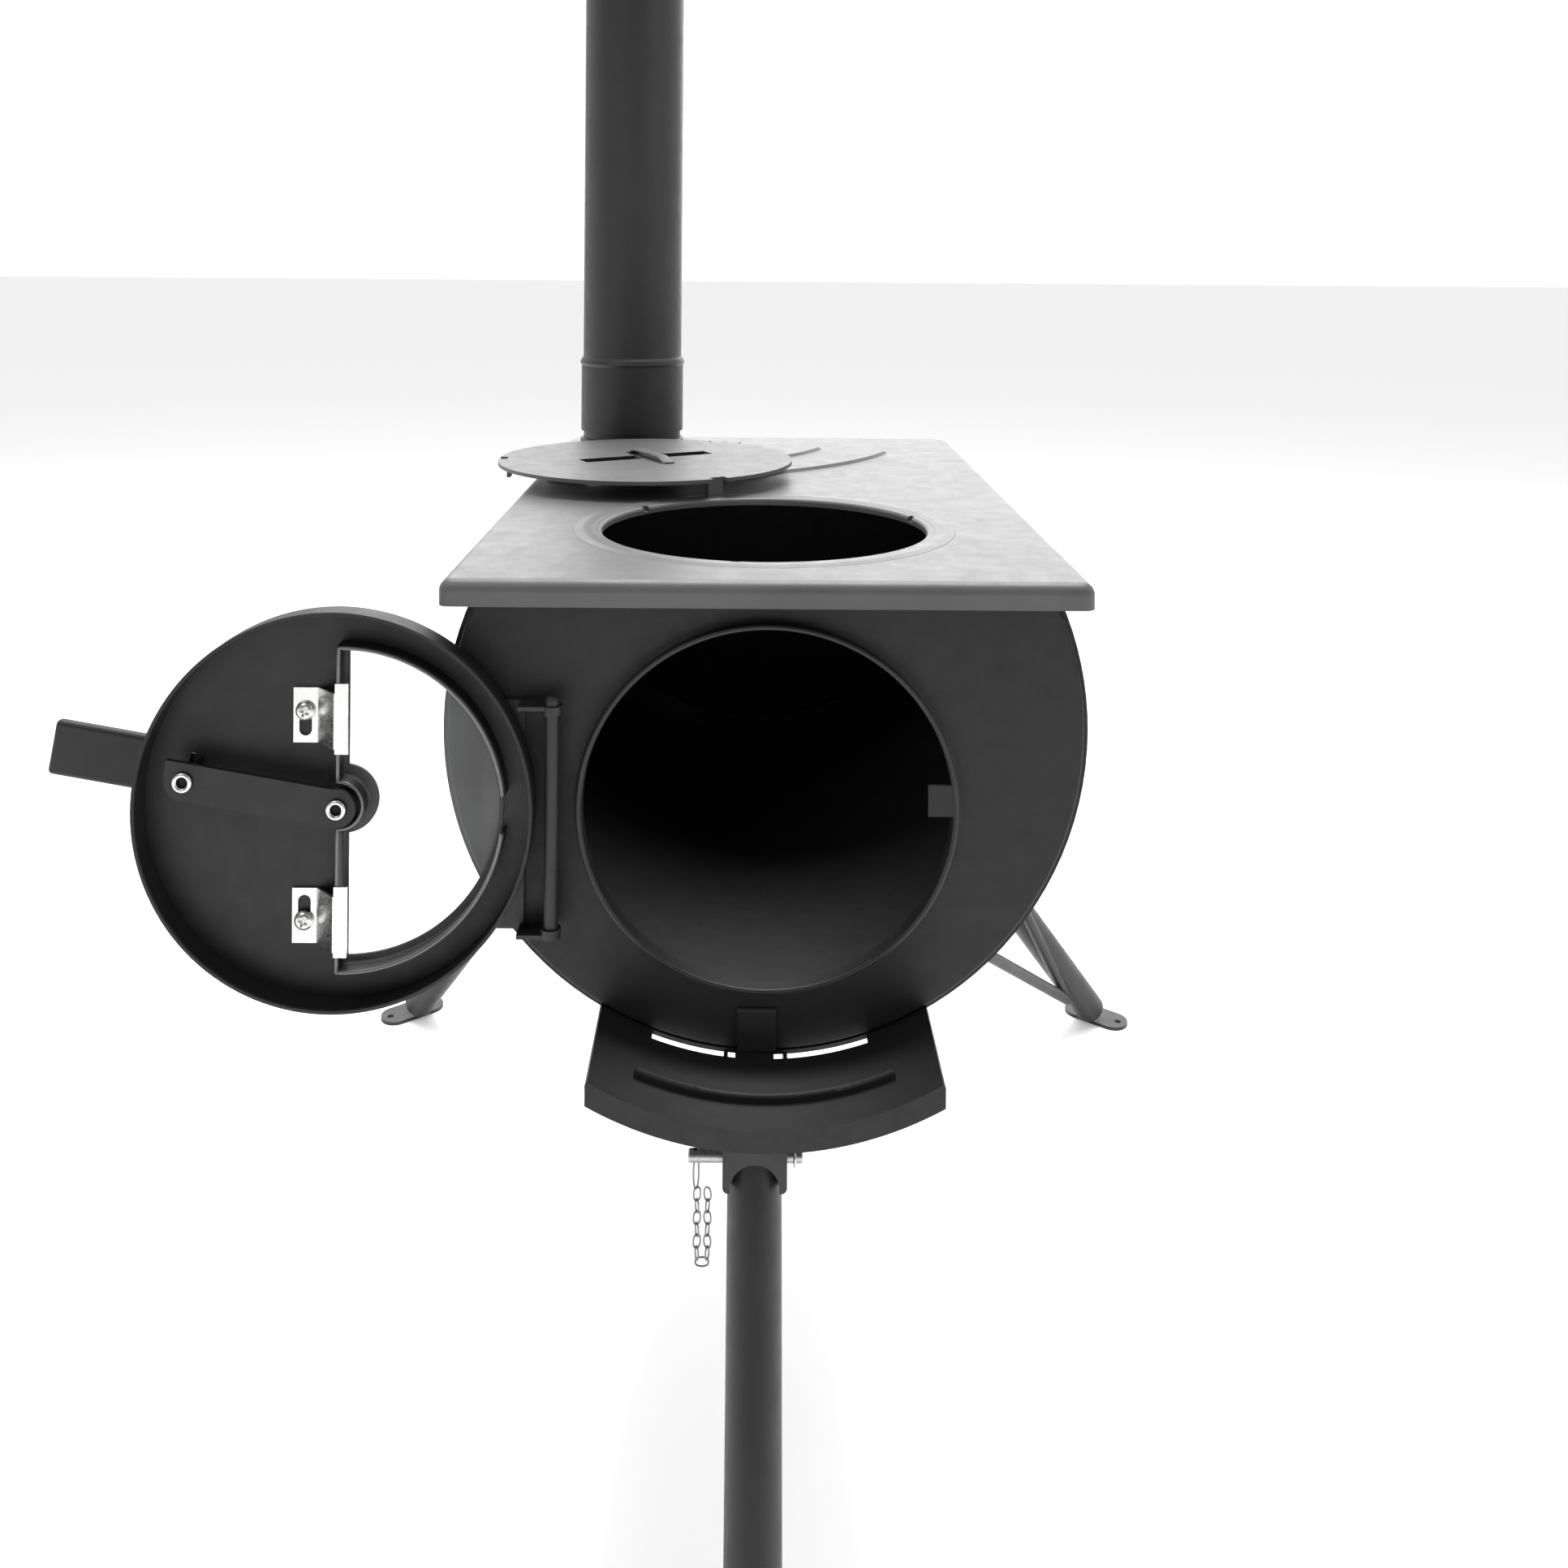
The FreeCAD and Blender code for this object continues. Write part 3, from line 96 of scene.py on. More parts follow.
def tint(tree, value, dark, light):
    """Colour between two tones by a value."""
    mix = tree.nodes.new("ShaderNodeMix")
    mix.data_type = "RGBA"
    mix.inputs["A"].default_value = (*dark, 1)
    mix.inputs["B"].default_value = (*light, 1)
    tree.links.new(value, mix.inputs["Factor"])
    return mix.outputs["Result"]


def grain(tree, shader, scale, depth, strength):
    """Fine bump from noise."""
    bump = tree.nodes.new("ShaderNodeBump")
    bump.inputs["Strength"].default_value = strength
    bump.inputs["Distance"].default_value = depth
    tree.links.new(object_noise(tree, scale, 2.0), bump.inputs["Height"])
    tree.links.new(bump.outputs["Normal"], shader.inputs["Normal"])


print("material helpers: 5")

# %% [markdown]
# ## Black heat paint
# Stove paint is sprayed on thick and dries matt, with a fine pebbled grain, and it is never one
# even black: it clouds slightly where the coat is thinner. One function makes each coat, so that
# the cooktop, the flue and the barrel can differ in tone and gloss. The near-black of painted
# shade is the same recipe with almost no gloss and a coarser grain.

# %% Paint


def heat_paint(name, dark, light, gloss, grain_depth=0.25 * MM, cloud=14.0):
    """Matt paint: clouded tone, roughness that follows a finer cloud, pebbled grain."""
    material, tree, shader = new_material(name)
    clouds = object_noise(tree, cloud)
    tree.links.new(tint(tree, spread(tree, clouds, 0, 1), (dark,) * 3, (light,) * 3),
                   shader.inputs["Base Color"])
    tree.links.new(spread(tree, object_noise(tree, 90.0), gloss - 0.05, gloss + 0.05),
                   shader.inputs["Roughness"])
    shader.inputs["Specular IOR Level"].default_value = 0.5
    grain(tree, shader, 1400.0, grain_depth, 0.35)
    return material


barrel_paint = heat_paint("barrel_paint", 0.006, 0.011, 0.58)
door_paint = heat_paint("door_paint", 0.008, 0.015, 0.52)
# The cooktop and the lid are painted far lighter than the barrel: painted sheen that stands in
# for the light the flat top catches from the lamps behind.
cooktop_paint = heat_paint("cooktop_paint", 0.09, 0.12, 0.44)
lid_sheen_paint = heat_paint("lid_sheen_paint", 0.09, 0.12, 0.5)
flue_paint = heat_paint("flue_paint", 0.02, 0.03, 0.46)
frame_paint = heat_paint("frame_paint", 0.016, 0.026, 0.46)
# Near-black painted shade for the rivet holes and the lid's slots, where only shade falls.
painted_shade_black = heat_paint("painted_shade_black", 0.003, 0.008, 0.8, 0.4 * MM)
print("coats:", len(bpy.data.materials))

# %% [markdown]
# ## Plated steel
# The clips, the screws and the pin are plated, so they shine as metal does, with faint wear where
# they rub. The metal shader takes its colour from the plating, and fine noise in its roughness
# breaks up the highlight. Zinc is duller and darker than the bright plate of the clips.

# %% Metal


def bright_metal(name, tone, roughness, scratch=900.0):
    """Plated steel: a metal shader with faint wear in its tone and its roughness."""
    material, tree, shader = new_material(name)
    shader.inputs["Metallic"].default_value = 1.0
    tree.links.new(tint(tree, spread(tree, object_noise(tree, 60.0), 0, 1),
                        tuple(c * 0.88 for c in tone), tone), shader.inputs["Base Color"])
    tree.links.new(spread(tree, object_noise(tree, scratch), roughness * 0.7, roughness * 1.4),
                   shader.inputs["Roughness"])
    return material


plated = bright_metal("plated", (0.8, 0.8, 0.79), 0.24)
zinc = bright_metal("zinc", (0.3, 0.3, 0.31), 0.36)
pin_steel = bright_metal("pin_steel", (0.5, 0.5, 0.51), 0.3)
print("metals: 3")

# %% [markdown]
# ## Door glass
# The pane is clear ceramic glass with a breath of smoke on it. A refracting shader would darken
# what lies behind two close faces, so the pane is nearly transparent instead, and what is left of
# it carries the gloss and the smoke.

# %% Glass


def clear_glass(name):
    """Thin clear pane: low alpha, smoky tone, and a gloss that varies with the smear."""
    material, tree, shader = new_material(name)
    shader.inputs["Alpha"].default_value = 0.07
    smoke = spread(tree, object_noise(tree, 24.0), 0, 1)
    tree.links.new(tint(tree, smoke, (0.55, 0.56, 0.55), (0.86, 0.88, 0.88)),
                   shader.inputs["Base Color"])
    tree.links.new(spread(tree, object_noise(tree, 30.0), 0.03, 0.1), shader.inputs["Roughness"])
    return material


glass = clear_glass("door_glass_clear")
print("finishes:", len(bpy.data.materials))

# %% [markdown]
# ## Which part gets which finish
# The finish follows the part's job, so the choice is made by the start of its name, and the
# longest match wins. The frame's meshes are not touched: only the material in each slot changes.

# %% Dress the frame
FINISHES = {
    "cooktop": cooktop_paint, "hob_ring": cooktop_paint, "hob_lid": lid_sheen_paint,
    "flue": flue_paint, "door_glass": glass,
    "door_pan": door_paint, "glass_trim": door_paint, "door_handle": door_paint,
    "latch_bar": door_paint, "latch_lever": door_paint,
    # The latch rivets wear the painted shade black, so the holes in their eyelets read dark.
    "latch_pivot_rivet": painted_shade_black, "latch_link_rivet": painted_shade_black,
    "glass_clip": plated, "clip_screw": plated, "pin_clip": plated, "lock_pin": pin_steel,
    "hinge": frame_paint, "shelf_strap": frame_paint,
    "front_leg": frame_paint, "front_foot": frame_paint, "rear": frame_paint,
    "rear_leg_pin": zinc, "rear_lug_pin": zinc, "rear_plate": barrel_paint,
}


def dress(thing, material):
    """Give every slot of a piece one finish."""
    thing.data.materials.clear()
    thing.data.materials.append(material)


for name, thing in nodes.items():
    matches = [key for key in FINISHES if name.startswith(key)]
    dress(thing, FINISHES[max(matches, key=len)] if matches else barrel_paint)
print("dressed:", len(nodes))

# %% [markdown]
# ## Surfaces from arrays
# Every added piece is a grid of points: one direction runs along the piece and the other runs
# around it. Blender's own primitives would do for a ring, but one function that joins a grid
# into faces serves for rings, rods, welds, straps and screw heads alike.

# %% Grid to mesh


def grid_faces(rows, columns, close_rows, close_columns):
    """Quads between neighbouring grid points: (i, j), (i+1, j), (i+1, j+1), (i, j+1)."""
    i = np.arange(rows if close_rows else rows - 1)[:, None]
    j = np.arange(columns if close_columns else columns - 1)[None, :]
    a = i * columns + j
    b = (i + 1) % rows * columns + j
    c = (i + 1) % rows * columns + (j + 1) % columns
    d = i * columns + (j + 1) % columns
    return np.stack([a, b, c, d], axis=-1).reshape(-1, 4)


def new_piece(name, points, faces, material, body, smooth=True):
    """Mesh object from points in millimetres; it rides on a body and wears a finish."""
    mesh = bpy.data.meshes.new(name)
    mesh.from_pydata((np.asarray(points) * MM).tolist(), [], [list(f) for f in faces])
    mesh.update()
    if smooth:
        mesh.shade_smooth()
    piece = bpy.data.objects.new(name, mesh)
    bpy.context.scene.collection.objects.link(piece)
    dress(piece, material)
    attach(piece, body)
    print("%s: %d points, on %s" % (name, len(mesh.vertices), body))
    return piece


# %% [markdown]
# ## Bars along a path
# A rolled edge, a weld, a chain link and a spring ring are all round bars that follow a line. A
# curve object with a bevel would draw them too, but its mesh exists only after a conversion. Here
# the line is swept with a circle straight away, and the circle may swell along the way.

# %% Swept bar


def tube_grid(path, normal, radius, sides=12, closed=True):
    """Round bar along a flat path: centre + r(cos a * side + sin a * normal)."""
    path = np.asarray(path, float)
    ahead = np.roll(path, -1, 0) if closed else np.vstack([path[1:], 2 * path[-1] - path[-2]])
    behind = np.roll(path, 1, 0) if closed else np.vstack([2 * path[0] - path[1], path[:-1]])
    run = ahead - behind
    run /= np.linalg.norm(run, axis=1)[:, None]
    normal = np.asarray(normal, float)
    side = np.cross(run, normal)
    turn = np.linspace(0, TAU, sides, endpoint=False)
    radius = np.broadcast_to(radius, len(path))[:, None, None]
    ring = (np.cos(turn)[None, :, None] * side[:, None, :]
            + np.sin(turn)[None, :, None] * normal[None, None, :])
    return path[:, None, :] + radius * ring


def tube_mesh(path, normal, radius, sides=12, closed=True):
    """Points and faces of a tube_grid, with flat ends if it is open."""
    grid = tube_grid(path, normal, radius, sides, closed)
    rows = len(grid)
    faces = [tuple(f) for f in grid_faces(rows, sides, closed, True)]
    if not closed:
        faces.append(tuple(range(sides - 1, -1, -1)))
        faces.append(tuple(range((rows - 1) * sides, rows * sides)))
    return grid.reshape(-1, 3), faces


def node_mm(name):
    """Lowest and highest corner of a node, in millimetres."""
    low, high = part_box(name)
    return np.array(low) / MM, np.array(high) / MM


print("swept bar ready")

# %% [markdown]
# ## Rim of the door opening
# Thin sheet is never left with a raw edge where a hand can reach it, and a rolled edge is what
# catches the light. A bevel on the frame would change it, so each roll is a thin bar laid along
# the edge. The opening is slightly wider than it is high, so its bar follows an oval.

# %% Opening rim
plate_low, plate_high = node_mm("front_plate")
RIM_CENTRE = np.array([1.0, 0.0, 449.6])
RIM_HALF_WIDTH, RIM_HALF_HEIGHT = 92.8, 89.2
RIM_STAND, RIM_WIRE = 1.0, 1.25
around = np.linspace(0, TAU, 240, endpoint=False)


def oval_path(centre, half_width, half_height, y):
    """Oval in the XZ plane: (a cos t, b sin t) about its centre."""
    return np.stack([centre[0] + half_width * np.cos(around), np.full_like(around, y),
                     centre[2] + half_height * np.sin(around)], axis=1)


rim_line = oval_path(RIM_CENTRE, RIM_HALF_WIDTH, RIM_HALF_HEIGHT, plate_low[1] + RIM_STAND)
points, faces = tube_mesh(rim_line, (0, 1, 0), RIM_WIRE)
new_piece("collar_rim", points, faces, frame_paint, "stove")

# %% [markdown]
# ## Rim of the door
# The door is a shallow pressed pan, and its rim is turned back on itself. The same oval, with
# equal halves, makes a circle just inside the pan's edge.

# %% Door rim
door_low, door_high = node_mm("door_pan")
DOOR = (door_low + door_high) / 2
DOOR_WIRE, DOOR_WIRE_INSET, DOOR_WIRE_STAND = 1.0, 0.8, 1.0
door_wire_radius = (door_high[0] - door_low[0]) / 2 - DOOR_WIRE_INSET
door_line = oval_path(DOOR, door_wire_radius, door_wire_radius, door_low[1] + DOOR_WIRE_STAND)
points, faces = tube_mesh(door_line, (0, 1, 0), DOOR_WIRE)
new_piece("door_rim", points, faces, frame_paint, "door")

# %% [markdown]
# ## Lip round the glass
# The lip is one worn edge that follows the window: an arc on the hinge's side with a short gap in
# it, a straight stretch down the middle of the door, and a bump round the latch's pivot. It is
# drawn as five stretches, each an arc or a line, joined into one open path, because a lip made of
# separate bars would show its ends.

# %% Sizes of the lip
trim_low, trim_high = node_mm("glass_trim")
TRIM_WALL = 2.0
GAP_BELOW, GAP_ABOVE = 10.6, 7.0
LIP_STAND, LIP_WIRE = 0.2, 1.0
lip_y = trim_low[1] + LIP_STAND
lip_radius = (trim_high[2] - trim_low[2]) / 2 - TRIM_WALL / 2
window_x = trim_high[0] - TRIM_WALL / 2 - lip_radius
edge_x = trim_low[0] + TRIM_WALL / 2
pivot_low, pivot_high = node_mm("latch_pivot_rivet")
PIVOT = (pivot_low + pivot_high) / 2
BUMP = 11.3
print("lip radius: %.1f mm" % lip_radius)

# %% Path of the lip


def lip_path(x, z):
    """Points in the plane of the lip."""
    return np.stack([x, np.full_like(x, lip_y), z], axis=1)


def arc_points(centre_x, centre_z, radius, start, end, count):
    """Arc: centre + radius (cos a, sin a) from start to end."""
    turn = np.linspace(start, end, count)
    return centre_x + radius * np.cos(turn), centre_z + radius * np.sin(turn)


corner = math.acos((edge_x - window_x) / lip_radius)
corner_z = lip_radius * math.sin(corner)
gap_low, gap_high = (math.asin(offset / lip_radius) for offset in (-GAP_BELOW, GAP_ABOVE))
bump_reach = math.sqrt(max(BUMP ** 2 - (edge_x - PIVOT[0]) ** 2, 1.0))
bump_turn = math.atan2(bump_reach, edge_x - PIVOT[0])
upper_x, upper_z = arc_points(window_x, DOOR[2], lip_radius, gap_high, corner, 90)
bump_x, bump_z = arc_points(PIVOT[0], PIVOT[2], BUMP, bump_turn, -bump_turn, 30)
lower_x, lower_z = arc_points(window_x, DOOR[2], lip_radius, -corner, gap_low, 90)
upper_run = np.linspace(DOOR[2] + corner_z, PIVOT[2] + bump_reach, 14)[1:-1]
lower_run = np.linspace(PIVOT[2] - bump_reach, DOOR[2] - corner_z, 14)[1:-1]
straight_x = np.full_like(upper_run, edge_x)
lip_x = np.concatenate([upper_x, straight_x, bump_x, straight_x, lower_x])
lip_z = np.concatenate([upper_z, upper_run, bump_z, lower_run, lower_z])
lip_metal = bright_metal("worn_lip", (0.2, 0.2, 0.205), 0.42)
points, faces = tube_mesh(lip_path(lip_x, lip_z), (0, 1, 0), LIP_WIRE, closed=False)
new_piece("window_lip", points, faces, lip_metal, "door")

# %% [markdown]
# ## Eyelets of the latch
# The latch turns on hollow rivets, whose ends are rolled over into a bright ring round a dark
# hole. A ring with a half-round section sits on each rivet's head, and a plug of painted shade a
# little way down the bore makes the hole read as deep. Both are turned about the rivet's own
# axis.

# %% Turned shapes


def turned_ring(centre, profile, sides=48):
    """Solid of revolution about the Y axis: (r cos a, y, r sin a) for a closed profile."""
    turn = np.linspace(0, TAU, sides, endpoint=False)[:, None]
    radius, depth = np.asarray(profile, float).T
    grid = np.stack([centre[0] + radius * np.cos(turn), centre[1] + depth + 0 * turn,
                     centre[2] + radius * np.sin(turn)], axis=-1)
    rows, columns = grid.shape[:2]
    return grid.reshape(-1, 3), [tuple(f) for f in grid_faces(rows, columns, True, True)]


def half_round(inner, outer, height, count=12):
    """Closed profile: flat foot from inner to outer radius, and an arch (sin) over it."""
    turn = np.linspace(0, math.pi, count)
    middle, half = (inner + outer) / 2, (outer - inner) / 2
    return np.stack([middle - half * np.cos(turn), -height * np.sin(turn)], axis=1)


def plug_mesh(centre, radius, thickness, sides=32):
    """Flat disc across the Y axis, with a hair-wide bore so that its section is one ring."""
    profile = [(0.05, 0.0), (radius, 0.0), (radius, thickness), (0.05, thickness)]
    return turned_ring(centre, profile, sides)


print("turned shapes ready")

# %% Eyelets
EYELET_BORE, EYELET_OUTER, EYELET_HEIGHT, EYELET_SEAT = 2.6, 4.9, 1.0, 0.3
PLUG_RADIUS, PLUG_THICKNESS, PLUG_SEAT = 2.7, 1.2, 1.0
for name in ("pivot", "link"):
    head_low, head_high = node_mm("latch_%s_rivet" % name)
    middle = (head_low + head_high) / 2
    seat = (middle[0], head_low[1] + EYELET_SEAT, middle[2])
    points, faces = turned_ring(seat, half_round(EYELET_BORE, EYELET_OUTER, EYELET_HEIGHT))
    new_piece("eyelet_" + name, points, faces, plated, "latch")
    seat = (middle[0], head_low[1] + PLUG_SEAT, middle[2])
    points, faces = plug_mesh(seat, PLUG_RADIUS, PLUG_THICKNESS)
    new_piece("eyelet_shadow_" + name, points, faces, painted_shade_black, "latch")

# %% [markdown]
# ## The lid's bridge
# Two slots leave a bar of sheet across the middle of the lid, and it is pushed up into a bridge,
# so that a hook can go under it and lift the hot lid. The bar is a flat section carried along a
# line, and its height follows a trapezium with softened corners, as pressed sheet does.

# %% Bridge
lid_low, lid_high = node_mm("hob_lid")
LID = (lid_low + lid_high) / 2
lid_top = lid_high[2]
BRIDGE_WIDTH, BRIDGE_THICKNESS, BRIDGE_LIFT, BRIDGE_SEAT = 8.5, 1.4, 3.2, 0.4


def strap_mesh(start, end, width, thickness, lift):
    """Flat strap whose middle is raised: height = lift * smoothed trapezium along its length."""
    along = np.linspace(0, 1, 40)
    rise = lift * np.clip(np.minimum(along, 1 - along) / 0.22, 0, 1)
    rise = rise * rise * (3 * lift - 2 * rise) / lift ** 2
    start, end = np.array(start, float), np.array(end, float)
    run = (end - start) / np.linalg.norm(end - start)
    side = np.array([-run[1], run[0], 0.0])
    profile = np.array([(-0.5, 0), (-0.46, 0.8), (-0.38, 1), (0.38, 1), (0.46, 0.8), (0.5, 0)])
    centre = start + along[:, None] * (end - start) + rise[:, None] * np.array([0, 0, 1.0])
    grid = (centre[:, None, :] + profile[None, :, :1] * width * side
            + profile[None, :, 1:] * thickness * np.array([0, 0, 1.0]))
    rows, columns = grid.shape[:2]
    faces = [tuple(f[::-1]) for f in grid_faces(rows, columns, False, True)]
    faces.append(tuple(range(columns)))
    faces.append(tuple(range(rows * columns - 1, (rows - 1) * columns - 1, -1)))
    return grid.reshape(-1, 3), faces


bridge_seat = lid_top - BRIDGE_SEAT
points, faces = strap_mesh((LID[0] - 13, LID[1] + 30, bridge_seat),
                           (LID[0] + 18, LID[1] - 26, bridge_seat),
                           BRIDGE_WIDTH, BRIDGE_THICKNESS, BRIDGE_LIFT)
new_piece("lid_bridge", points, faces, lid_sheen_paint, "lid")

# %% [markdown]
# ## Painted shade in the lid's slots
# The slots read black because the gap under the lid lies in shade behind them. Painting the lid's
# own mesh would need a mask, so a thin liner of painted shade stands against the back wall of
# each slot instead, which is the only wall that is seen from in front.

# %% Slot liners
LID_TURN = math.radians(28)
SLOT_LONG, SLOT_WIDE, SLOT_GAP, SLOT_BACK = 43.0, 16.0, 12.0, 8.0
LINER_THICKNESS, LINER_HEIGHT, LINER_DROP, LINER_END = 0.45, 2.4, 2.45, 0.2
slot_run = np.array([math.cos(LID_TURN), math.sin(LID_TURN), 0.0])
slot_side = np.array([-slot_run[1], slot_run[0], 0.0])
slot_base = np.array([-82.0, 311.0 + SLOT_BACK, lid_top - LINER_DROP])
slot_wall = slot_side * (SLOT_WIDE / 2 - 0.5)


def plate_mesh(corner, run, side, rise):
    """Closed block from a corner and three edges, with the faces turned outwards."""
    corner, run, side, rise = (np.asarray(v, float) for v in (corner, run, side, rise))
    steps = np.array([(0, 0, 0), (1, 0, 0), (1, 1, 0), (0, 1, 0),
                      (0, 0, 1), (1, 0, 1), (1, 1, 1), (0, 1, 1)], float)
    points = corner + steps @ np.stack([run, side, rise])
    return points, [(3, 2, 1, 0), (4, 5, 6, 7), (0, 1, 5, 4), (1, 2, 6, 5), (2, 3, 7, 6),
                    (3, 0, 4, 7)]


# Each liner is a dark sheet of painted shade on the slot's back wall.
for name, start in (("left", -(SLOT_GAP / 2 + SLOT_LONG)), ("right", SLOT_GAP / 2)):
    points, faces = plate_mesh(slot_base + slot_run * (start + LINER_END) + slot_wall,
                               slot_run * (SLOT_LONG - 2 * LINER_END),
                               slot_side * LINER_THICKNESS, (0, 0, LINER_HEIGHT))
    new_piece("slot_shade_liner_" + name, points, faces, painted_shade_black, "lid", smooth=False)

# %% [markdown]
# ## Dish round the hob hole
# Pressing the hole draws the sheet down a little all round it, which leaves a soft ring that
# shows only as a change of shine. It is a very low ring with a cosine section, laid on the top.

# %% Dish ring
ring_low, ring_high = node_mm("hob_ring")
HOB = (ring_low + ring_high) / 2
top_z = ring_high[2]
DISH_INNER, DISH_OUTER, DISH_HEIGHT = 99.0, 111.0, 0.5


def low_ring(centre, inner, outer, height, base, sides=160, count=14):
    """Ring about Z whose height is h (1 - cos) / 2 across its width, on a flat foot."""
    turn = np.linspace(0, TAU, sides, endpoint=False)[:, None]
    share = np.linspace(0, 1, count)
    radius = np.concatenate([inner + (outer - inner) * share, [outer, inner]])
    up = np.concatenate([0.02 + height * (1 - np.cos(TAU * share)) / 2, [-0.4, -0.4]])
    grid = np.stack([centre[0] + radius * np.cos(turn), centre[1] + radius * np.sin(turn),
                     base + up + 0 * turn], axis=-1)
    rows, columns = grid.shape[:2]
    faces = [tuple(f[::-1]) for f in grid_faces(rows, columns, True, True)]
    return grid.reshape(-1, 3), faces


points, faces = low_ring(HOB, DISH_INNER, DISH_OUTER, DISH_HEIGHT, top_z)
new_piece("hob_dish", points, faces, cooktop_paint, "stove")

# %% [markdown]
# ## Welds
# The parts that are fixed for good are welded, and a weld is a row of overlapping drops. Bump
# alone would leave its outline smooth, so the bead is a bar whose radius has a fixed part and a
# ripple, |sin| along the run, laid along the joint's own line.

# %% Weld bead


def weld(name, path, radius, body, closed=False, ripple=0.3, pitch=3.0):
    """Bead along a path: radius (1 - ripple + ripple |sin|), one drop for each pitch."""
    path = np.asarray(path, float)
    steps = np.linalg.norm(np.diff(path, axis=0), axis=1)
    along = np.concatenate([[0], np.cumsum(steps)])
    swell = radius * (1 - ripple + ripple * np.abs(np.sin(math.pi * along / pitch)))
    run = path[1] - path[0]
    level = abs(run[2]) < 0.5 * np.linalg.norm(run)
    normal = np.array([0.0, 0.0, 1.0] if level else [0.0, 1.0, 0.0])
    points, faces = tube_mesh(path, normal, swell, 8, closed)
    new_piece(name, points, faces, frame_paint, body)


def level_circle(centre, radius_x, radius_y, count):
    """Oval at one height about a centre."""
    turn = np.linspace(0, TAU, count, endpoint=False)
    return np.stack([centre[0] + radius_x * np.cos(turn), centre[1] + radius_y * np.sin(turn),
                     np.full_like(turn, centre[2])], axis=1)


print("weld bead ready")

# %% Welds of the flue, the foot and the hinge
WELD_RISE = 0.3
flue_low, flue_high = node_mm("flue_collar")
FLUE = (flue_low + flue_high) / 2
FLUE_WELD = 42.6
weld("weld_flue", level_circle((FLUE[0], FLUE[1], top_z + WELD_RISE), FLUE_WELD, FLUE_WELD, 360),
     1.3, "stove", closed=True)

foot_low, foot_high = node_mm("front_foot")
leg_low, leg_high = node_mm("front_leg_tube")
LEG_SETBACK = 14.2
LEG_WELD_WIDE, LEG_WELD_DEEP = 14.0, 14.8
foot_middle = ((foot_low[0] + foot_high[0]) / 2, leg_low[1] + LEG_SETBACK,
               foot_high[2] + WELD_RISE)
weld("weld_front_foot", level_circle(foot_middle, LEG_WELD_WIDE, LEG_WELD_DEEP, 120), 1.4,
     "front_leg", closed=True)

hinge_low, hinge_high = node_mm("hinge_tube")
hinge_x = (hinge_low[0] + hinge_high[0]) / 2
LUG_INSET, LUG_LENGTH = 8.0, 18.0
LUG_WELD_APART, LUG_WELD_FRONT = 1.6, -0.6
lug_starts = (hinge_low[2] + LUG_INSET, hinge_high[2] - LUG_INSET - LUG_LENGTH)
for number, lug_start in enumerate(lug_starts, 1):
    for side, sign in (("left", -1), ("right", 1)):
        levels = np.linspace(lug_start, lug_start + LUG_LENGTH, 36)
        line = np.stack([np.full_like(levels, hinge_x + sign * LUG_WELD_APART),
                         np.full_like(levels, LUG_WELD_FRONT), levels], axis=1)
        weld("weld_hinge_%d_%s" % (number, side), line, 0.8, "stove")

# %% [markdown]
# ## Screws of the glass clips
# The clips are held by pan-head screws with a cross recess. A cut with another mesh would leave
# sharp, uneven faces on so small a head, so the recess is part of the dome's own height formula.

# %% Screw heads
RECESS_TURN = 0.4
RECESS_ARM, RECESS_REACH = 0.13, 0.52
SCREW_RADIUS, SCREW_HEIGHT = 5.0, 3.0


def screw_mesh(centre, radius, height):
    """Dome with a cross pressed in: y = h (1 - r^3.2)^0.55 less a smooth cross-shaped pit."""
    rings = np.linspace(0.0, 1.0, 26)[1:]
    turn = np.linspace(0, TAU, 64, endpoint=False)
    r, a = np.meshgrid(rings, turn, indexing="ij")
    u = np.abs(r * np.cos(a + RECESS_TURN))
    v = np.abs(r * np.sin(a + RECESS_TURN))
    bar_u = np.clip((RECESS_ARM - u) / 0.05, 0, 1) * np.clip((RECESS_REACH - v) / 0.12, 0, 1)
    bar_v = np.clip((RECESS_ARM - v) / 0.05, 0, 1) * np.clip((RECESS_REACH - u) / 0.12, 0, 1)
    pit = np.maximum(bar_u, bar_v)
    dome = np.power(np.clip(1 - r ** 3.2, 0, 1), 0.55)
    out = height * dome - 0.6 * height * pit
    grid = np.stack([centre[0] + radius * r * np.cos(a), centre[1] - out,
                     centre[2] + radius * r * np.sin(a)], axis=-1)
    tip = np.array([[centre[0], centre[1] - 0.4 * height, centre[2]]])
    base = np.array([[centre[0], centre[1], centre[2]]])
    rows, columns = grid.shape[:2]
    faces = [tuple(f) for f in grid_faces(rows, columns, False, True)]
    top = rows * columns
    last = (rows - 1) * columns
    faces += [(top, j, (j + 1) % columns) for j in range(columns)]
    faces += [(last + (j + 1) % columns, last + j, top + 1) for j in range(columns)]
    return np.vstack([grid.reshape(-1, 3), tip, base]), [face[::-1] for face in faces]


for level in ("upper", "lower"):
    screw_low, screw_high = node_mm("clip_screw_" + level)
    middle = (screw_low + screw_high) / 2
    points, faces = screw_mesh((middle[0], screw_high[1], middle[2]), SCREW_RADIUS, SCREW_HEIGHT)
    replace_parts(new_piece("cross_screw_" + level, points, faces, plated, "door"),
                "clip_screw_" + level)

# %% [markdown]
# ## Keeper chain
# A chain of small links hangs in a loop from the front leg's pin, so that the pin can't be lost.
# Each link is a round wire bent to an oval, and every second one is turned a quarter. A
# simulation could hang it, but so short a chain is drawn just as well along a line of its own:
# two straight drops joined by a half turn at the foot.

# %% One link
pin_low, pin_high = node_mm("lock_pin")
PIN = (pin_low + pin_high) / 2


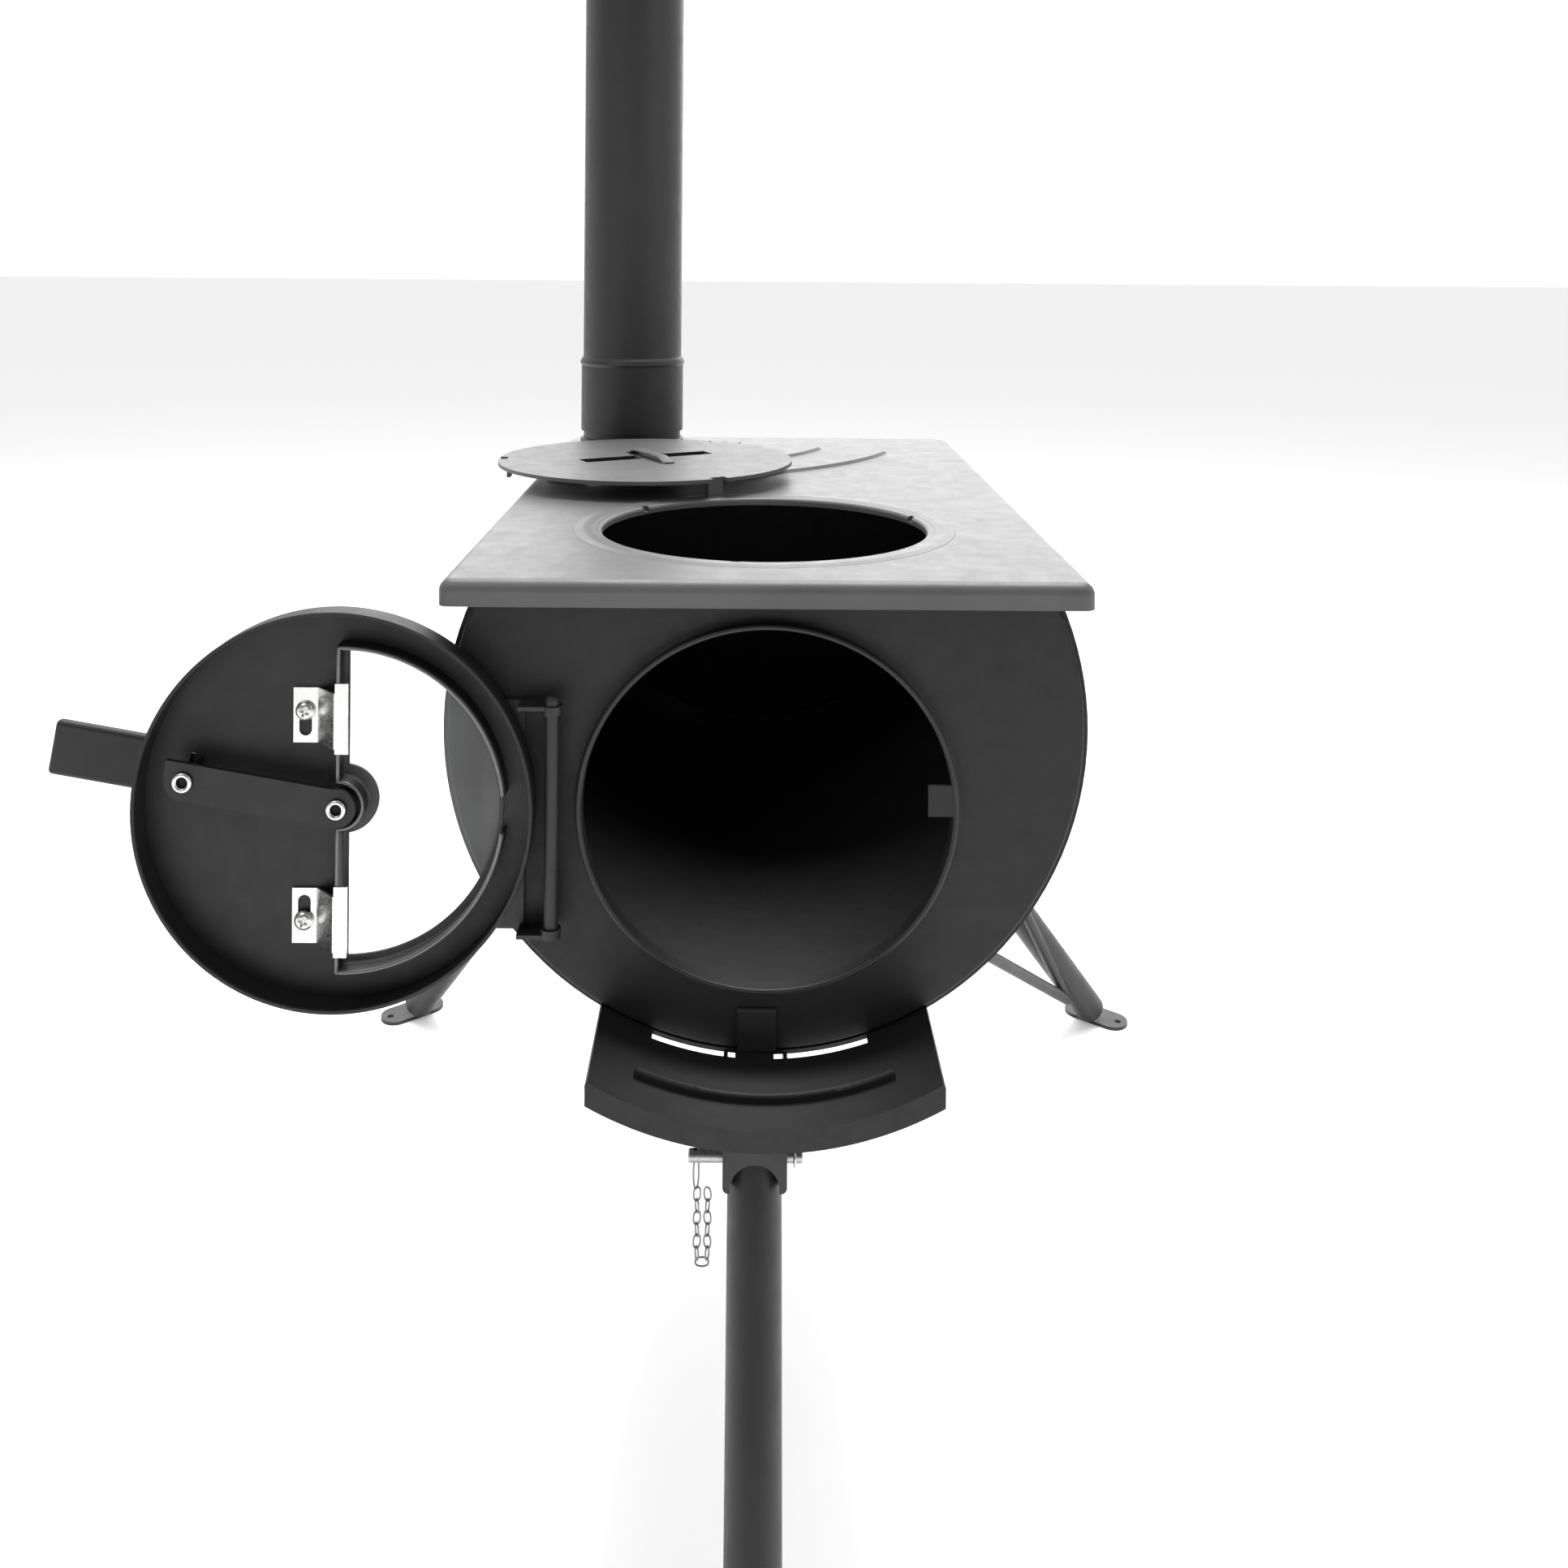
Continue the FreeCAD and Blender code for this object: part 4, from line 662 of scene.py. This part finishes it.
def link_mesh(centre, along, side, length=7.4, width=4.6, wire=0.42):
    """Oval link: a stadium-like loop (|sin|^0.75 across) in the plane of along and side."""
    turn = np.linspace(0, TAU, 28, endpoint=False)
    along = np.asarray(along, float)
    side = np.asarray(side, float)
    across = np.sign(np.sin(turn)) * np.abs(np.sin(turn)) ** 0.75
    loop = (np.asarray(centre) + (length / 2 - wire) * np.cos(turn)[:, None] * along
            + (width / 2 - wire) * across[:, None] * side)
    return tube_mesh(loop, np.cross(along, side), wire, 8)


print("pin length: %.1f mm" % (pin_high[0] - pin_low[0]))

# %% The loop
CHAIN_LINKS = 13
CHAIN_SIDE, CHAIN_TOP, CHAIN_DROP, CHAIN_HALF = 4.6, 13.0, 34.0, 2.6


def chain_path(count):
    """Centres along a hanging loop: two drops joined by a tight round turn at the foot."""
    left = pin_low[0] + CHAIN_SIDE
    top = pin_low[2] - CHAIN_TOP
    foot = top - CHAIN_DROP
    bend = math.pi * CHAIN_HALF
    place = (np.arange(count) + 0.5) / count * (2 * CHAIN_DROP + bend)
    down = place < CHAIN_DROP
    up = place > CHAIN_DROP + bend
    turn = (place - CHAIN_DROP) / CHAIN_HALF
    middle = left + CHAIN_HALF
    x = np.where(down, left, np.where(up, left + 2 * CHAIN_HALF,
                                      middle - CHAIN_HALF * np.cos(turn)))
    z = np.where(down, top - place, np.where(up, foot + place - CHAIN_DROP - bend,
                                             foot - CHAIN_HALF * np.sin(turn)))
    heading = np.where(down, -math.pi / 2, np.where(up, math.pi / 2, -math.pi / 2 + turn))
    return x, z, heading


link_xs, link_zs, headings = chain_path(CHAIN_LINKS)
print("links in the loop:", len(link_xs))

# %% Thread the links
END_LINK_LENGTH, END_LINK_WIDTH, END_LINK_WIRE = 17.0, 4.2, 0.5


def joined(parts):
    """Several point and face sets as one."""
    points = []
    faces = []
    start = 0
    for part_points, part_faces in parts:
        points.append(part_points)
        faces += [tuple(index + start for index in face) for face in part_faces]
        start += len(part_points)
    return np.vstack(points), faces


links = []
for index in range(CHAIN_LINKS):
    along = np.array([math.cos(headings[index]), 0.0, math.sin(headings[index])])
    flat = np.array([-along[2], 0.0, along[0]])
    twist = math.radians(25 + 90 * (index % 2))
    side = math.cos(twist) * flat + math.sin(twist) * np.array([0.0, 1.0, 0.0])
    links.append(link_mesh((link_xs[index], PIN[1], link_zs[index]), along, side))
links.append(link_mesh((pin_low[0] + 4.0, PIN[1], PIN[2] - END_LINK_LENGTH / 2), (0, 0, -1),
                       (0.8, 0.6, 0), END_LINK_LENGTH, END_LINK_WIDTH, END_LINK_WIRE))
points, faces = joined(links)
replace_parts(new_piece("keeper_chain", points, faces, zinc, "stove"), "pin_chain")

# %% [markdown]
# ## Spring ring
# A spring ring through the pin's other end keeps it from sliding out. It is one turn of thin wire
# in the plane across the pin, and it hangs slightly low, as a loose ring does.

# %% Ring on the pin
RING_RADIUS, RING_SAG, RING_WIRE = 4.2, 0.6, 0.6
clip_low, clip_high = node_mm("pin_clip")
ring_x = (clip_low[0] + clip_high[0]) / 2
turn = np.linspace(0, TAU, 40, endpoint=False)
ring_path = np.stack([np.full_like(turn, ring_x), PIN[1] + RING_RADIUS * np.cos(turn),
                      PIN[2] - RING_SAG + RING_RADIUS * np.sin(turn)], axis=1)
points, faces = tube_mesh(ring_path, (1, 0, 0), RING_WIRE)
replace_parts(new_piece("spring_ring", points, faces, plated, "stove"), "pin_clip")

# %% [markdown]
# ## Sky
# Matt black paint shows its shape only by what it reflects, so the sky is bright behind the stove
# and dim in front of it. One ramp on the direction's Y does that, with no picture of a studio.

# %% Sky
SKY_FRONT = 0.22
SKY_BACK = 1.1
world = bpy.data.worlds.new("studio")
bpy.context.scene.world = world
world.use_nodes = True
sky = world.node_tree
facing = sky.nodes.new("ShaderNodeTexCoord")
split = sky.nodes.new("ShaderNodeSeparateXYZ")
level = sky.nodes.new("ShaderNodeMapRange")
level.inputs["From Min"].default_value = -0.3
level.inputs["From Max"].default_value = 0.3
level.inputs["To Min"].default_value = SKY_FRONT
level.inputs["To Max"].default_value = SKY_BACK
sky.links.new(facing.outputs["Generated"], split.inputs["Vector"])
sky.links.new(split.outputs["Y"], level.inputs["Value"])
sky.nodes["Background"].inputs["Color"].default_value = (1, 1, 1, 1)
sky.links.new(level.outputs["Result"], sky.nodes["Background"].inputs["Strength"])
bpy.context.scene.view_settings.view_transform = "Standard"
print("sky: %.2f in front, %.2f behind" % (SKY_FRONT, SKY_BACK))

# %% [markdown]
# ## Floor
# The floor is pale and very wide, so that it runs back to the sky with no edge near the stove. A
# faint glow of its own lifts its far part towards the white of the sky.

# %% Floor
FLOOR = 30.0
FLOOR_TONE = 0.92
FLOOR_GLOW = 0.25
floor_mesh = bpy.data.meshes.new("floor")
floor_mesh.from_pydata([(-FLOOR, -FLOOR, 0), (FLOOR, -FLOOR, 0), (FLOOR, FLOOR, 0),
                        (-FLOOR, FLOOR, 0)], [], [(0, 1, 2, 3)])
floor = bpy.data.objects.new("floor", floor_mesh)
bpy.context.scene.collection.objects.link(floor)
floor_material, floor_tree, floor_shader = new_material("floor_white")
floor_shader.inputs["Base Color"].default_value = (FLOOR_TONE, FLOOR_TONE, FLOOR_TONE, 1)
floor_shader.inputs["Roughness"].default_value = 0.9
floor_shader.inputs["Emission Color"].default_value = (1, 1, 1, 1)
floor_shader.inputs["Emission Strength"].default_value = FLOOR_GLOW
floor.data.materials.append(floor_material)
print("floor: %.0f m across" % (2 * FLOOR))

# %% [markdown]
# ## Camera
# The camera looks straight ahead from a little above the cooktop, so the uprights stay upright,
# and its view is shifted down to take in the feet. Tilting it would make the legs lean together.

# %% Camera
camera_data = bpy.data.cameras.new("camera")
camera = bpy.data.objects.new("camera", camera_data)
bpy.context.scene.collection.objects.link(camera)
camera.location = (-10 * MM, -715 * MM, 725 * MM)
camera.rotation_euler = (math.radians(90), math.radians(-0.413), 0)
camera_data.lens = 33.2
camera_data.shift_x = 0.0223
camera_data.shift_y = -0.3422
camera_data.clip_start = 0.01
bpy.context.scene.camera = camera
print("lens: %.1f mm" % camera_data.lens)

# %% [markdown]
# ## Lights
# Four square lamps stand round the stove. The two behind and above do most of the work, because
# they rake over the edges and the cooktop. The key and the fill in front are weak, so that the
# black parts stay black. A sun would draw hard shadows, so wide lamps are used instead.

# %% Lights


def soft_light(name, place, aim, size, power):
    """Square soft light at a place, facing an aim point."""
    data = bpy.data.lights.new(name, "AREA")
    data.shape = "SQUARE"
    data.size = size
    data.energy = power
    lamp = bpy.data.objects.new(name, data)
    bpy.context.scene.collection.objects.link(lamp)
    lamp.location = place
    toward = Vector(aim) - Vector(place)
    lamp.rotation_euler = toward.to_track_quat("-Z", "Y").to_euler()
    print("%s light: %g W" % (name, power))
    return lamp


soft_light("key", (-1.4, -1.3, 2.6), (0, 0.2, 0.4), 1.4, 12)
soft_light("fill", (2.0, -1.0, 1.5), (0, 0.2, 0.4), 1.4, 6)
soft_light("back", (0.2, 3.2, 1.8), (0, 0.3, 0.5), 3.0, 62)
soft_light("top", (0.1, 0.9, 3.0), (0, 0.3, 0.5), 1.6, 90)
